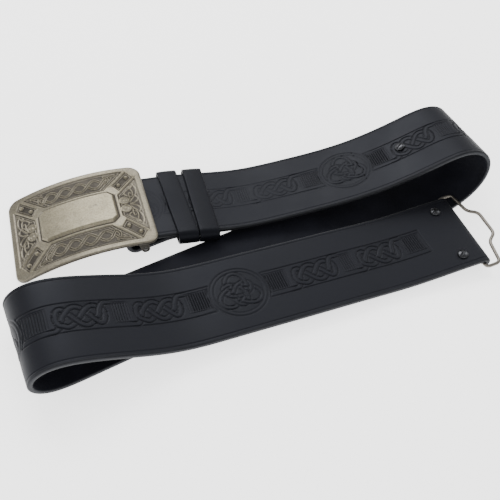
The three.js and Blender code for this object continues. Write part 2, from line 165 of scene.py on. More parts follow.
_t0 = np.array([math.cos(ANCHOR_YAW), math.sin(ANCHOR_YAW), 0.0])
_n0 = np.array([0.0, 0.0, -1.0])
_start = (
    np.array([ANCHOR_XY[0], ANCHOR_XY[1], STRAP_THICKNESS / 2]),
    _t0,
    np.cross(_n0, _t0),
    _n0,
)
PATH = np.array(
    march(ANCHOR_S, S_START - 1, _start)[::-1][:-1] + march(ANCHOR_S, S_END + 1, _start)
)


def unit(v):
    return v / np.linalg.norm(v, axis=-1, keepdims=True)


def frame_at(s):
    s = np.asarray(s, float)
    cols = [np.interp(s, PATH[:, 0], PATH[:, c]) for c in range(1, 13)]
    a = np.stack(cols, -1)
    return a[..., 0:3] + SHIFT, unit(a[..., 3:6]), unit(a[..., 6:9]), unit(a[..., 9:12])


def surface(s, across, out):
    """The point at a flat position (station, across) of the strap, out from its middle surface."""
    s, across, out = np.broadcast_arrays(s, across, out)
    k = s.astype(float).copy()
    for _ in range(8):
        k = s - across * np.tan(skew(k))
    p, t, b, n = frame_at(k)
    tb = np.tan(skew(k))
    return p + b * across[..., None] + t * (across * tb)[..., None] + n * out[..., None]


# ---------------------------------------------------------------- mesh helpers
def smoothstep(a, b, x):
    u = np.clip((x - a) / (b - a), 0, 1)
    return u * u * (3 - 2 * u)


def make(name, verts_mm, faces, materials=(), face_material=None, smooth=True, attributes=None):
    verts = np.asarray(verts_mm, float) * MM
    mesh = bpy.data.meshes.new(name)
    if isinstance(faces, np.ndarray):
        mesh.vertices.add(len(verts))
        mesh.vertices.foreach_set("co", verts.astype(np.float32).ravel())
        n = faces.shape[1]
        mesh.loops.add(faces.size)
        mesh.loops.foreach_set("vertex_index", faces.astype(np.int32).ravel())
        mesh.polygons.add(len(faces))
        mesh.polygons.foreach_set("loop_start", np.arange(0, faces.size, n, dtype=np.int32))
        mesh.polygons.foreach_set("loop_total", np.full(len(faces), n, np.int32))
        mesh.update(calc_edges=True)
    else:
        mesh.from_pydata([tuple(v) for v in verts], [], [tuple(int(i) for i in f) for f in faces])
    mesh.validate()
    for m in materials:
        mesh.materials.append(m)
    if face_material is not None:
        mesh.polygons.foreach_set("material_index", np.asarray(face_material, np.int32))
    if smooth:
        mesh.polygons.foreach_set("use_smooth", np.ones(len(mesh.polygons), bool))
    for key, values in (attributes or {}).items():
        a = mesh.attributes.new(key, "FLOAT", "POINT")
        a.data.foreach_set("value", np.asarray(values, np.float32))
    mesh.update()
    obj = bpy.data.objects.new(name, mesh)
    bpy.context.scene.collection.objects.link(obj)
    return obj


def signed_volume(verts, faces):
    total = 0.0
    v = np.asarray(verts, float)
    for f in faces:
        for i in range(1, len(f) - 1):
            total += np.dot(v[f[0]], np.cross(v[f[i]], v[f[i + 1]]))
    return total / 6


def loft(rings, closed=False):
    """Vertices and faces of a skin through rings of equal count, capped unless it closes on itself."""
    rings = np.asarray(rings, float)
    r, n = rings.shape[:2]
    verts = rings.reshape(-1, 3)
    faces = []
    for i in range(r if closed else r - 1):
        a, b = i * n, ((i + 1) % r) * n
        for k in range(n):
            q = (k + 1) % n
            faces.append((a + k, a + q, b + q, b + k))
    if not closed:
        faces.append(tuple(range(n))[::-1])
        faces.append(tuple(range((r - 1) * n, r * n)))
    if signed_volume(verts, faces) < 0:
        faces = [f[::-1] for f in faces]
    return verts, faces


def merge(parts):
    verts, faces, base = [], [], 0
    for v, f in parts:
        verts.append(np.asarray(v, float))
        faces += [tuple(base + i for i in q) for q in f]
        base += len(v)
    return np.vstack(verts), faces


def sharpen(obj, degrees):
    """Smooth shading with an edge kept where two faces meet at more than this angle."""
    obj.data.shade_smooth() if hasattr(obj.data, "shade_smooth") else None
    if hasattr(obj.data, "set_sharp_from_angle"):
        obj.data.set_sharp_from_angle(angle=math.radians(degrees))


def bevelled(obj, width_mm, segments=2, angle=30):
    b = obj.modifiers.new("bevel", "BEVEL")
    b.width = width_mm * MM
    b.segments = segments
    b.limit_method = "ANGLE"
    b.angle_limit = math.radians(angle)
    return obj


# ---------------------------------------------------------------- interlace
def catmull(points, closed=False, per=10):
    p = np.asarray(points, float)
    n = len(p)
    out = []
    last = n if closed else n - 1
    for i in range(last):
        if closed:
            a, b, c, d = p[(i - 1) % n], p[i], p[(i + 1) % n], p[(i + 2) % n]
        else:
            a, b, c, d = p[max(i - 1, 0)], p[i], p[i + 1], p[min(i + 2, n - 1)]
        for u in np.arange(per) / per:
            out.append(0.5 * (2 * b + (c - a) * u + (2 * a - 5 * b + 4 * c - d) * u * u + (3 * b - a - 3 * c + d) * u ** 3))
    out.append(p[0] if closed else p[-1])
    return np.array(out)


def nearest(px, py, line):
    """Distance from each point to a polyline, and the place on it as index plus fraction."""
    best = np.full(px.shape, 1e9)
    place = np.zeros(px.shape)
    for i in range(len(line) - 1):
        ax, ay = line[i]
        dx, dy = line[i + 1] - line[i]
        l2 = dx * dx + dy * dy + 1e-12
        u = np.clip(((px - ax) * dx + (py - ay) * dy) / l2, 0, 1)
        d = np.hypot(px - ax - u * dx, py - ay - u * dy)
        near = d < best
        best[near] = d[near]
        place[near] = i + u[near]
    return best, place


def crossings(lines):
    """Where the polylines cross themselves and one another: (line, place, line, place)."""
    found = []
    for a in range(len(lines)):
        for b in range(a, len(lines)):
            p, q = lines[a], lines[b]
            for i in range(len(p) - 1):
                r = p[i + 1] - p[i]
                first = i + 2 if a == b else 0
                if first >= len(q) - 1:
                    continue
                s = q[first + 1:] - q[first:-1]
                w = q[first:-1] - p[i]
                den = r[0] * s[:, 1] - r[1] * s[:, 0]
                den = np.where(np.abs(den) < 1e-12, 1e-12, den)
                t = (w[:, 0] * s[:, 1] - w[:, 1] * s[:, 0]) / den
                u = (w[:, 0] * r[1] - w[:, 1] * r[0]) / den
                for j in np.nonzero((t >= 0) & (t < 1) & (u >= 0) & (u < 1))[0]:
                    if a == b and np.allclose(p[0], p[-1]) and i == 0 and first + j >= len(q) - 3:
                        continue
                    found.append((a, i + t[j], b, first + j + u[j]))
    return found


def weave(lines, flip=False):
    """Over pieces of the strands at their crossings, over and under by turns along each strand."""
    found = crossings(lines)
    over = [None] * len(found)
    for k in range(len(lines)):
        visits = []
        for c, (a, ta, b, tb) in enumerate(found):
            if a == k:
                visits.append((ta, c, 0))
            if b == k:
                visits.append((tb, c, 1))
        visits.sort()
        known = [(i, v) for i, v in enumerate(visits) if over[v[1]] is not None]
        if known:
            i0, v0 = known[0]
            state0 = (over[v0[1]] == v0[2]) ^ (i0 % 2 == 1)
        else:
            state0 = not flip
        for i, (_, c, side) in enumerate(visits):
            state = state0 ^ (i % 2 == 1)
            if over[c] is None:
                over[c] = side if state else 1 - side
    out = []
    for c, (a, ta, b, tb) in enumerate(found):
        out.append((a, ta) if over[c] == 0 else (b, tb))
    return out


def interlace(px, py, lines, reach, profile, span, flip=False):
    """Height over the points of woven strands, NaN where there is no strand. profile(distance) is the strand's height."""
    h = np.full(px.shape, np.nan)
    for line in lines:
        d, _ = nearest(px, py, line)
        near = d < reach
        v = profile(d)
        h = np.where(near & (np.isnan(h) | (v > h)), v, h)
    for k, place in weave(lines, flip):
        line = lines[k]
        steps = np.linalg.norm(np.diff(line, axis=0), axis=1)
        along = np.concatenate([[0], np.cumsum(steps)])
        here = np.interp(place, np.arange(len(line)), along)
        cut = np.array([
            [np.interp(x, along, line[:, 0]), np.interp(x, along, line[:, 1])]
            for x in np.linspace(here - span, here + span, 17)
            if 0 <= x <= along[-1]
        ])
        if len(cut) < 3:
            continue
        c = np.array([np.interp(here, along, line[:, 0]), np.interp(here, along, line[:, 1])])
        close = np.hypot(px - c[0], py - c[1]) < span + reach
        if not close.any():
            continue
        d, at = nearest(px[close], py[close], cut)
        v = profile(d)
        inside = (d < reach) & (at > 0) & (at < len(cut) - 1)
        part = h[close]
        part[inside] = v[inside]
        h[close] = part
    return h


# ---------------------------------------------------------------- the strap's embossing
# One repeat: a roundel, then a frame with bars, a plaited knot, bars, a knot and bars.
REPEAT = 144.10
ROUNDEL_S = 157.64
FRAME_START = 16.6
FRAME_HALF = 9.54
KNOT_AT = 49.65
KNOT_HALF = 14.4
ROUNDEL_R = 17.4
BAR_PITCH = 1.5
PATTERN_FROM = 22.0
CREASE_IN = 2.5
STRAND = 1.33


def strand_height(d):
    inside = -0.02 - 0.13 * np.clip(d / STRAND, 0, 1) ** 2
    outside = -0.20
    body = np.where(d < STRAND, inside, outside)
    return body - 0.40 * np.exp(-(((d - STRAND - 0.22) / 0.27) ** 2))


def plait():
    """Three strands plaited, all one cord that runs out of the frame at two opposite corners."""
    amp, wave = 6.35, 29.5

    def y(i, x):
        return amp * np.sin(2 * np.pi * (x / wave + i / 3))

    xs = np.linspace(-9.9, 9.9, 19)
    one = [(x, y(1, x)) for x in xs]
    zero = [(x, y(0, x)) for x in xs[::-1]]
    two = [(x, y(2, x)) for x in xs]
    path = [(-24.0, -7.95), (-17.6, -7.95), (-13.9, -7.9), (-11.7, -5.2), (-10.6, -2.4)]
    path += one
    path += [(11.3, -5.2), (12.7, -3.2), (13.3, 0.6), (12.3, 4.0)]
    path += zero
    path += [(-12.3, -4.0), (-13.3, -0.6), (-12.7, 3.2), (-11.3, 5.2)]
    path += two
    path += [(10.6, 2.4), (11.7, 5.2), (13.9, 7.9), (17.6, 7.95), (24.0, 7.95)]
    return [catmull(path, per=4)]


def rosette():
    """A three-lobed endless cord with a smaller one, turned half round, woven through it."""
    phi = np.linspace(0, 2 * np.pi, 241)
    lobes = np.stack([np.sin(phi) + 2 * np.sin(2 * phi), np.cos(phi) - 2 * np.cos(2 * phi)], 1)
    return [lobes * 4.66, -lobes * 3.15]


PLAIT = plait()
ROSETTE = rosette()


def groove(d, depth, width):
    return -depth * np.exp(-((d / width) ** 2))


def emboss(s, t):
    """Depth of the pressed pattern at flat positions of the strap, in mm, never above the face."""
    h = np.zeros(np.broadcast(s, t).shape)
    s, t = np.broadcast_arrays(s, t)
    c = np.mod(s - ROUNDEL_S, REPEAT)
    x = np.where(c > REPEAT / 2, c - REPEAT, c)
    r = np.hypot(x, t)
    live = smoothstep(PATTERN_FROM, PATTERN_FROM + 0.5, s)
    # crease beside each edge
    h += groove(np.abs(t) - (STRAP_WIDTH / 2 - CREASE_IN), 0.24, 0.30)
    pattern = np.zeros_like(h)
    # frame lines
    hollow_end = np.where(s < 100, -99.0, ROUNDEL_R + 1.5 - r)
    d_frame = np.maximum(np.maximum(np.abs(t) - FRAME_HALF, FRAME_START - np.abs(x)), hollow_end)
    pattern += np.where(np.abs(d_frame) < 1.5, groove(d_frame, 0.42, 0.32), 0)
    # bars
    panels = [
        (FRAME_START + 2.4, KNOT_AT - KNOT_HALF - 0.3),
        (KNOT_AT + KNOT_HALF + 0.3, REPEAT - KNOT_AT - KNOT_HALF - 0.3),
        (REPEAT - KNOT_AT + KNOT_HALF + 0.3, REPEAT - FRAME_START - 2.4),
    ]
    for a, b in panels:
        count = round((b - a) / BAR_PITCH)
        pitch = (b - a) / count
        inside = (c > a - 0.05) & (c < b + 0.05)
        phase = np.cos(2 * np.pi * (c - a) / pitch)
        bars = -0.03 - 0.53 * np.clip(phase * 0.5 + 0.5, 0, 1) ** 1.3
        across = smoothstep(-7.25, -6.7, t) * (1 - smoothstep(5.2, 6.0, t))
        pattern += np.where(inside, bars * across, 0)
        edge = np.maximum(t - 6.35, -7.55 - t)
        line = groove(edge, 0.34, 0.27)
        long = smoothstep(a - 1.2, a - 0.9, c) * (1 - smoothstep(b + 0.9, b + 1.2, c))
        pattern += np.where(np.abs(edge) < 1.2, line * long, 0)
    for end in (panels[0][0] - 1.0, panels[2][1] + 1.0):
        line = groove(c - end, 0.34, 0.27)
        pattern += line * smoothstep(-7.9, -7.4, t) * (1 - smoothstep(6.2, 6.7, t)) * (np.abs(c - end) < 1.2)
    # knots
    for centre in (KNOT_AT, REPEAT - KNOT_AT):
        dx = c - centre
        near = (np.abs(dx) < 22) & (np.abs(t) < 10.5)
        if near.any():
            px, py = dx[near], t[near]
            k = interlace(px, py, PLAIT, STRAND + 0.55, strand_height, 2.9)
            # the cord fades into the frame's band past the knot
            fade = 1 - smoothstep(15.6, 20.5, np.abs(px))
            base = pattern[near]
            field = -0.14 * (1 - smoothstep(0.75, 1.0, np.hypot(px / 15.4, py / 9.4)))
            k = np.where(np.isnan(k), field, k)
            w = np.clip(fade, 0, 1)
            pattern[near] = np.where(np.abs(px) < KNOT_HALF + 7, np.minimum(base * (1 - 0.75 * w * (np.abs(px) < KNOT_HALF + 0.6)), 0) * (1 - w) + k * w + base * (w > 0) * (np.abs(py) > 9.0) * w, base)
    # roundels
    near = (r < ROUNDEL_R + 1.4) & (s > 100)
    if near.any():
        px, py, rr = x[near], t[near], r[near]
        k = interlace(px, py, ROSETTE, 1.12 + 0.45, lambda d: strand_height(d * STRAND / 1.12), 2.2)
        field = -0.17
        k = np.where(np.isnan(k), field, k)
        ring = np.zeros_like(k)
        inner = rr < 14.9
        value = np.where(inner, k, ring)
        value = value + groove(rr - ROUNDEL_R, 0.36, 0.34) + groove(rr - 15.1, 0.34, 0.32) + np.where(rr > 15.1, -0.05, 0)
        outer_part = rr > ROUNDEL_R
        value = np.where(outer_part, groove(rr - ROUNDEL_R, 0.36, 0.34) + pattern[near], value)
        pattern[near] = value
    pattern *= np.where(s < 100, live, 1.0)
    # pressed less deep towards the buckle
    pattern = np.minimum(pattern, 0) * (1 - 0.5 * smoothstep(745, 800, s))
    return np.maximum(h + pattern, -0.62)


# ---------------------------------------------------------------- strap
def strap_rows(a, b):
    """Stations of the strap's rows from a to b, as fine as the pattern or the fold there needs."""
    marks = []
    first = math.floor((a - ROUNDEL_S) / REPEAT)
    last = math.ceil((b - ROUNDEL_S) / REPEAT)
    panels = [
        (FRAME_START + 2.4, KNOT_AT - KNOT_HALF - 0.3),
        (KNOT_AT + KNOT_HALF + 0.3, REPEAT - KNOT_AT - KNOT_HALF - 0.3),
        (REPEAT - KNOT_AT + KNOT_HALF + 0.3, REPEAT - FRAME_START - 2.4),
    ]
    for m in range(first, last + 1):
        z = ROUNDEL_S + m * REPEAT
        cursor = 0.0
        for p, q in panels:
            gap = p - cursor
            marks += list(z + cursor + np.arange(0, gap, 0.47)[: max(int(gap / 0.47), 1)])
            count = round((q - p) / BAR_PITCH)
            marks += list(z + p + (q - p) * np.arange(4 * count) / (4 * count))
            cursor = q
        gap = REPEAT - cursor
        marks += list(z + cursor + np.arange(0, gap, 0.47)[: max(int(gap / 0.47), 1)])
    marks = [s for s in marks if max(a, PATTERN_FROM - 1) + 0.2 < s < min(b, BELT_END) - 0.2]
    out = [a]

    def fill(to, step):
        n = max(int(math.ceil((to - out[-1]) / step)), 1)
        base = out[-1]
        for i in range(1, n + 1):
            out.append(base + (to - base) * i / n)

    if a < 0:
        fill(TAIL_FOLD_AT - fold_length(TAIL) - 1.0, 2.0)
        fill(TAIL_FOLD_AT + 1.0, 0.33)
        fill(PATTERN_FROM - 1, 1.2)
    for s in marks:
        if s > out[-1] + 0.12:
            out.append(s)
    if b > BELT_END:
        fill(BELT_END - 1.0, 1.0)
        fill(BELT_END + fold_length(RETURN) + 1.0, 0.45)
        fill(b, 2.0)
    else:
        if b - out[-1] < 0.12:
            out.pop()
        out.append(b)
    return np.array(out)


def strap_piece(name, a, b, materials, central=88):
    rows = strap_rows(a, b)
    half, o = STRAP_WIDTH / 2, STRAP_THICKNESS / 2
    # columns of the outer face crowd into the pattern: wide at a roundel, narrow along a frame
    outer = np.array([27.35, 26.9, 26.55, 26.25, 26.0, 25.75, 25.45, 25.1, 23.0, 20.9])
    x = np.mod(rows - ROUNDEL_S + REPEAT / 2, REPEAT) - REPEAT / 2
    reach = 10.6 + 7.7 * (1 - smoothstep(17.0, 24.0, np.abs(x)))
    reach = np.where(rows < 60, 10.6, reach)
    mid = np.linspace(-1, 1, central + 1)
    beside = np.stack([reach + 1.5, reach + 0.5, reach + 0.2], 1)
    columns = np.concatenate(
        [
            np.tile(-outer, (len(rows), 1)),
            -beside,
            reach[:, None] * mid[None, :],
            beside[:, ::-1],
            np.tile(outer[::-1], (len(rows), 1)),
        ],
        1,
    )
    trim = TAB_INSET * smoothstep(0.55, 0.9, (TAIL_FOLD_AT - rows) / fold_length(TAIL))
    keep = (1 - trim / half)[:, None]
    s_grid = np.repeat(rows[:, None], columns.shape[1], 1)
    depth = emboss(s_grid, columns)
    face = surface(s_grid, columns * keep, o + depth - 0.02)
    # the rounded edges and the inner face, one ring a row
    rr = 1.15
    arc = np.radians([90 - 12, 60, 42, 24, 8])
    edge_t = half - rr + rr * np.cos(np.radians(90) - (np.radians(90) - arc))
    ring_t, ring_o = [], []
    for q in arc:  # near edge, from the outer face round
        ring_t.append(half - rr + rr * math.cos(q))
        ring_o.append(o - rr + rr * math.sin(q))
    low = 0.8
    for q in np.radians([-8, -30, -55, -78]):
        ring_t.append(half - low + low * math.cos(q))
        ring_o.append(-o + low + low * math.sin(q))
    inner = np.linspace(half - low - 1.0, -(half - low - 1.0), 8)
    for q in inner:
        ring_t.append(q)
        ring_o.append(-o)
    for q in np.radians([-78, -55, -30, -8]):
        ring_t.append(-(half - low + low * math.cos(q)))
        ring_o.append(-o + low + low * math.sin(q))
    for q in arc[::-1]:
        ring_t.append(-(half - rr + rr * math.cos(q)))
        ring_o.append(o - rr + rr * math.sin(q))
    ring_t, ring_o = np.array(ring_t), np.array(ring_o)
    rest = surface(rows[:, None] + 0 * ring_t[None, :], ring_t[None, :] * keep, ring_o[None, :] + 0 * rows[:, None])
    ring = np.concatenate([face, rest], 1)
    n, m = ring.shape[:2]
    i = np.arange(n - 1)[:, None]
    k = np.arange(m)[None, :]
    q = (k + 1) % m
    quads = np.stack([i * m + k, i * m + q, (i + 1) * m + q, (i + 1) * m + k], -1).reshape(-1, 4)
    count = face.shape[1]
    kinds = np.zeros((n - 1, m), int)
    kinds[:, count - 1 : count + 8] = 1
    kinds[:, count + 8 : count + 8 + 8] = 2
    kinds[:, count + 16 :] = 1
    # end caps: a fan of triangles from the ring to its centre
    verts = ring.reshape(-1, 3)
    caps, cap_kind = [], []
    for row, flip in ((0, True), (n - 1, False)):
        base = row * m
        lo, hi = 0, m - 1
        ids = [base + z for z in range(m)]
        centre = len(verts)
        verts = np.vstack([verts, verts[base : base + m].mean(0)[None]])
        for z in range(m):
            tri = (ids[z], ids[(z + 1) % m], centre)
            caps.append(tri[::-1] if not flip else tri)
    # orientation from the outer normal
    a0, b0, c0 = verts[quads[0][0]], verts[quads[0][1]], verts[quads[0][2]]
    nrm = np.cross(b0 - a0, c0 - a0)
    row_n = frame_at(rows[0])[3]
    if np.dot(nrm, row_n) < 0:
        quads = quads[:, ::-1]
        caps = [f[::-1] for f in caps]
    # painted shade: the face is darkened with the depth of the pressed pattern, most in its deepest lines
    dark = np.zeros(len(verts))
    dark[: n * m].reshape(n, m)[:, :count] = np.clip(-depth / 0.5, 0, 1)
    mesh = bpy.data.meshes.new(name)
    faces_total = len(quads) + len(caps)
    mesh.vertices.add(len(verts))
    mesh.vertices.foreach_set("co", (verts * MM).astype(np.float32).ravel())
    loops = np.concatenate([quads.ravel(), np.array(caps).ravel()])
    mesh.loops.add(len(loops))
    mesh.loops.foreach_set("vertex_index", loops.astype(np.int32))
    mesh.polygons.add(faces_total)
    totals = np.concatenate([np.full(len(quads), 4), np.full(len(caps), 3)])
    mesh.polygons.foreach_set("loop_start", np.concatenate([[0], np.cumsum(totals)[:-1]]).astype(np.int32))
    mesh.polygons.foreach_set("loop_total", totals.astype(np.int32))
    mesh.update(calc_edges=True)
    for mat in materials:
        mesh.materials.append(mat)
    kind = np.concatenate([kinds.ravel(), np.ones(len(caps), int)])
    mesh.polygons.foreach_set("material_index", kind.astype(np.int32))
    smooth = np.concatenate([np.ones(len(quads), bool), np.zeros(len(caps), bool)])
    mesh.polygons.foreach_set("use_smooth", smooth)
    attr = mesh.attributes.new("pressed_shade", "FLOAT", "POINT")
    attr.data.foreach_set("value", dark.astype(np.float32))
    mesh.update()
    mesh.set_sharp_from_angle(angle=math.radians(80))
    obj = bpy.data.objects.new(name, mesh)
    bpy.context.scene.collection.objects.link(obj)
    return obj


# ---------------------------------------------------------------- keepers
KEEPER_WIDTH = 13.0
KEEPER_THICKNESS = 1.7
KEEPER_REACH = 28.4


def keeper_piece(name, s, slant, materials, phase):
    low = -(STRAP_THICKNESS + GAP) - STRAP_THICKNESS / 2 - GAP
    high = STRAP_THICKNESS / 2 + GAP
    mid, r = (low + high) / 2, (high - low) / 2
    # the loop's line at mid thickness, with its outward normal
    line = []
    for side in (1, -1):
        for q in np.linspace(-math.pi / 2, math.pi / 2, 19):
            line.append((side * KEEPER_REACH, mid, side * math.cos(q), side * math.sin(q)))
        if side == 1:
            for a in np.linspace(KEEPER_REACH, -KEEPER_REACH, 38)[1:-1]:
                line.append((a, mid, 0.0, 1.0))
        else:
            for a in np.linspace(-KEEPER_REACH, KEEPER_REACH, 38)[1:-1]:
                line.append((a, mid, 0.0, -1.0))
    # the band's own section: width by thickness with rounded corners
    w, th, c = KEEPER_WIDTH / 2, KEEPER_THICKNESS, 0.62
    section = []
    for cx, cy, from_deg in ((w - c, th - c, 0), (-w + c, th - c, 90), (-w + 0.3, 0.3, 180), (w - 0.3, 0.3, 270)):
        rad = c if cy > 0.5 else 0.3
        for q in np.radians(np.linspace(from_deg, from_deg + 90, 5)):
            section.append((cx + rad * math.cos(q), cy + rad * math.sin(q)))
    dense = []
    for i, (u, v) in enumerate(section):
        dense.append((u, v))
        nu, nv = section[(i + 1) % len(section)]
        span = abs(nu - u)
        if span > 3:
            for z in range(1, 9):
                dense.append((u + (nu - u) * z / 9, v + (nv - v) * z / 9))
    rings = []
    total = len(line)
    for i, (a, m0, na, nn) in enumerate(line):
        ring = []
        for u, v in dense:
            p, t, b, n = frame_at(s + u)
            crown = 0.16 * (1 - (u / w) ** 2) if v > KEEPER_THICKNESS / 2 else 0.0
            wob = 0.05 * math.sin(a / 9.0 + phase)
            off = r + v + crown - 0.16
            if v < KEEPER_THICKNESS / 2:
                off = r + v
            ring.append(p + b * (a + na * off) + n * (m0 + nn * off) + t * (wob - slant * (a + na * off)))
        rings.append(ring)
    verts, faces = loft(rings, closed=True)
    obj = make(name, verts, faces, materials)
    sharpen(obj, 50)
    return obj


# ---------------------------------------------------------------- studs
STUDS = [
    ("stud_1", 11.2, -18.6, 5.6),
    ("stud_2", 14.0, 19.5, 5.6),
    ("stud_3", 693.2, -1.0, 3.6),
]
STUD_R = 3.3


def stud_piece(name, s, across, depth, materials):
    base = STRAP_THICKNESS / 2 + 0.12
    k = s
    for _ in range(8):
        k = s - across * math.tan(float(skew(k)))
    p, t, b, n = frame_at(k)
    p = surface(np.array(s), np.array(across), np.array(0.0))
    slot_dir = unit(t + 0.6 * b)
    side = np.cross(n, slot_dir)
    seg = 56
    rings = []

    def ring(rad, height, slotted):
        out = []
        for i in range(seg):
            q = 2 * math.pi * i / seg
            x, y = rad * math.cos(q), rad * math.sin(q)
            z = height
            if slotted:
                z -= 0.75 * (1 - float(smoothstep(0.42, 0.62, np.array(abs(y)))))
                z = max(z, base + 0.35)
            out.append(p + slot_dir * x + side * y + n * z)
        return out

    def dome(rad):
        return base + 0.45 + 1.25 * math.sqrt(max(1 - (rad / (STUD_R + 0.03)) ** 2, 0))

    rings.append(ring(1.7, base - depth, False))
    rings.append(ring(1.7, base, False))
    rings.append(ring(STUD_R - 0.18, base, False))
    rings.append(ring(STUD_R - 0.04, base + 0.12, False))
    rings.append(ring(STUD_R, base + 0.4, False))
    for rad in [0.985 * STUD_R, 0.95 * STUD_R, 0.88 * STUD_R, 2.6, 2.25, 1.9, 1.6, 1.3, 1.0, 0.75, 0.5, 0.25]:
        rings.append(ring(rad, dome(rad), True))
    verts, faces = loft(rings)
    obj = make(name, verts, faces, materials)
    sharpen(obj, 40)
    return obj


# ---------------------------------------------------------------- wire loop
WIRE_R = 1.1
WIRE_DROOP = -0.17
WIRE_PATH = [(0.0, 31.0), (9.4, 31.0), (11.9, 14.2), (17.9, 9.6)]


def wire_piece(name, materials):
    p, t, b, n = frame_at(TAIL_FOLD_AT)
    axis = unit(b + t * math.tan(float(skew(TAIL_FOLD_AT))))
    centre = p - n * TAIL_FOLD_R
    away = unit(np.cross(n, axis))
    if np.dot(away, t) > 0:
        away = -away
    out = away * math.cos(WIRE_DROOP) - n * math.sin(WIRE_DROOP)
    corners = [np.array(q) for q in WIRE_PATH] + [np.array((u, -v)) for u, v in WIRE_PATH[::-1]]
    pts = []
    m = len(corners)
    for i in range(m):
        a, c0, c = corners[i - 1], corners[i], corners[(i + 1) % m]
        la, lc = np.linalg.norm(a - c0), np.linalg.norm(c - c0)
        cut = min(3.0, la * 0.45, lc * 0.45)
        pa, pc = c0 + (a - c0) * cut / la, c0 + (c - c0) * cut / lc
        for u in np.linspace(0, 1, 9):
            pts.append((1 - u) ** 2 * pa + 2 * u * (1 - u) * c0 + u * u * pc)
        if lc > 6:
            nxt = corners[(i + 1) % m] + (c0 - corners[(i + 1) % m]) * min(3.0, lc * 0.45) / lc
            for u in (0.25, 0.5, 0.75):
                pts.append(pc + (nxt - pc) * u)
    pts = np.array(pts)
    up = unit(np.cross(out, axis))
    rings = []
    for i, q in enumerate(pts):
        before, after = pts[i - 1], pts[(i + 1) % len(pts)]
        d = unit(after - before)
        along = out * d[0] + axis * d[1]
        side = unit(np.cross(up, along))
        here = centre + out * q[0] + axis * q[1]
        rings.append([here + (side * math.cos(z) + up * math.sin(z)) * WIRE_R for z in np.linspace(0, 2 * math.pi, 21)[:-1]])
    verts, faces = loft(rings, closed=True)
    return make(name, verts, faces, materials)


# ---------------------------------------------------------------- buckle
CENTRE = np.array([-110.35, 10.95, 16.2]) + SHIFT
YAW, PITCH, ROLL = 0.349, 0.158, 0.004
BEND_R = 148.2
PLATE_L, PLATE_H = 91.75 / 2, 36.0
PLATE_T, TAPER, CORNER = 2.0, 0.2, 7.9
BOSSES = [(29.55, 18.9), (35.7, 25.5)]
BAR_R = 1.5
LUG_ACROSS, LUG_T, LUG_R, LUG_FLARE = 30.6, 2.2, 2.6, 0.8
HOOK_ALONG, HOOK_WIDTH, HOOK_ROOM, HOOK_T, HOOK_REACH = -31.0, 9.0, 3.0, 1.4, 5.0

px_, py_, pz_ = np.array([1.0, 0, 0]), np.array([0, -1.0, 0]), np.array([0, 0, 1.0])
_r = rotation((0, 0, 1), YAW)
px_, py_ = _r @ px_, _r @ py_
_r = rotation(py_, PITCH)
px_, pz_ = _r @ px_, _r @ pz_
_r = rotation(px_, ROLL)
py_, pz_ = _r @ py_, _r @ pz_


def on_plate(u, v, w):
    u, v, w = np.broadcast_arrays(np.asarray(u, float), np.asarray(v, float), np.asarray(w, float))
    a = u / BEND_R
    return (
        CENTRE
        + px_ * (np.sin(a) * (BEND_R + w))[..., None]
        + py_ * v[..., None]
        + pz_ * (np.cos(a) * (BEND_R + w) - BEND_R)[..., None]
    )


def polygon_distance(px, py, poly):
    """Signed distance to a convex polygon given counter-clockwise, negative inside."""
    poly = np.asarray(poly, float)
    best = np.full(px.shape, 1e9)
    inside = np.full(px.shape, -1e9)
    for i in range(len(poly)):
        a, b = poly[i], poly[(i + 1) % len(poly)]
        e = b - a
        l2 = e @ e
        u = np.clip(((px - a[0]) * e[0] + (py - a[1]) * e[1]) / l2, 0, 1)
        best = np.minimum(best, np.hypot(px - a[0] - u * e[0], py - a[1] - u * e[1]))
        side = ((px - a[0]) * e[1] - (py - a[1]) * e[0]) / math.sqrt(l2)
        inside = np.maximum(inside, side)
    return np.where(inside < 0, -best, best)


DIAG = np.array([0.682, 0.731])
DIAG /= np.linalg.norm(DIAG)
DIAG_N = np.array([-DIAG[1], DIAG[0]])
BOSS_MID = np.array([32.65, 22.2])
RIM_U, RIM_V = 41.8, 31.9
IN_U, IN_V = 27.3, 15.9


def along_line(point, direction, u=None, v=None):
    if u is not None:
        return point[1] + (u - point[0]) * direction[1] / direction[0]
    return point[0] + (v - point[1]) * direction[0] / direction[1]


_top = BOSS_MID + DIAG_N * 5.2
TOP_IN, TOP_OUT = along_line(_top, DIAG, v=IN_V), along_line(_top, DIAG, v=RIM_V)
_side = BOSS_MID - DIAG_N * 4.6
SIDE_IN, SIDE_OUT = along_line(_side, DIAG, u=IN_U), along_line(_side, DIAG, u=RIM_U)
TOP_POLY = [(-TOP_IN, IN_V), (TOP_IN, IN_V), (TOP_OUT, RIM_V), (-TOP_OUT, RIM_V)]
SIDE_POLY = [(IN_U, -SIDE_IN), (RIM_U, -SIDE_OUT), (RIM_U, SIDE_OUT), (IN_U, SIDE_IN)]


def boss_poly():
    half, wide, lean = 8.2, 3.35, 0.25
    corners = []
    for a, b in ((-1, -1), (1, -1), (1, 1), (-1, 1)):
        corners.append(BOSS_MID + DIAG * (a * half + lean * b * wide) + DIAG_N * (b * wide))
    return corners


BOSS_POLY = boss_poly()
FLOOR = -0.95


def top_lines():
    """Two cords that cross three times and end in points, for the long panels."""
    xs = np.linspace(-19.5, 19.5, 33)

    def y(x, sign):
        return 23.7 + sign * 4.0 * np.sin(np.pi * (x + 19.5) / 9.75)

    one = [(x, y(x, 1)) for x in xs]
    two = [(x, y(x, -1)) for x in xs]
    one = [(-21.5, 28.9), (-23.6, 27.2), (-22.0, 23.2)] + one[1:-1] + [(22.0, 27.6), (28.2, 29.4)]
    two = [(-28.2, 29.4), (-22.0, 27.0)] + two[1:-1] + [(21.0, 21.0), (23.2, 24.6), (21.2, 28.6)]
    return [catmull(one, per=4), catmull(two, per=4)]


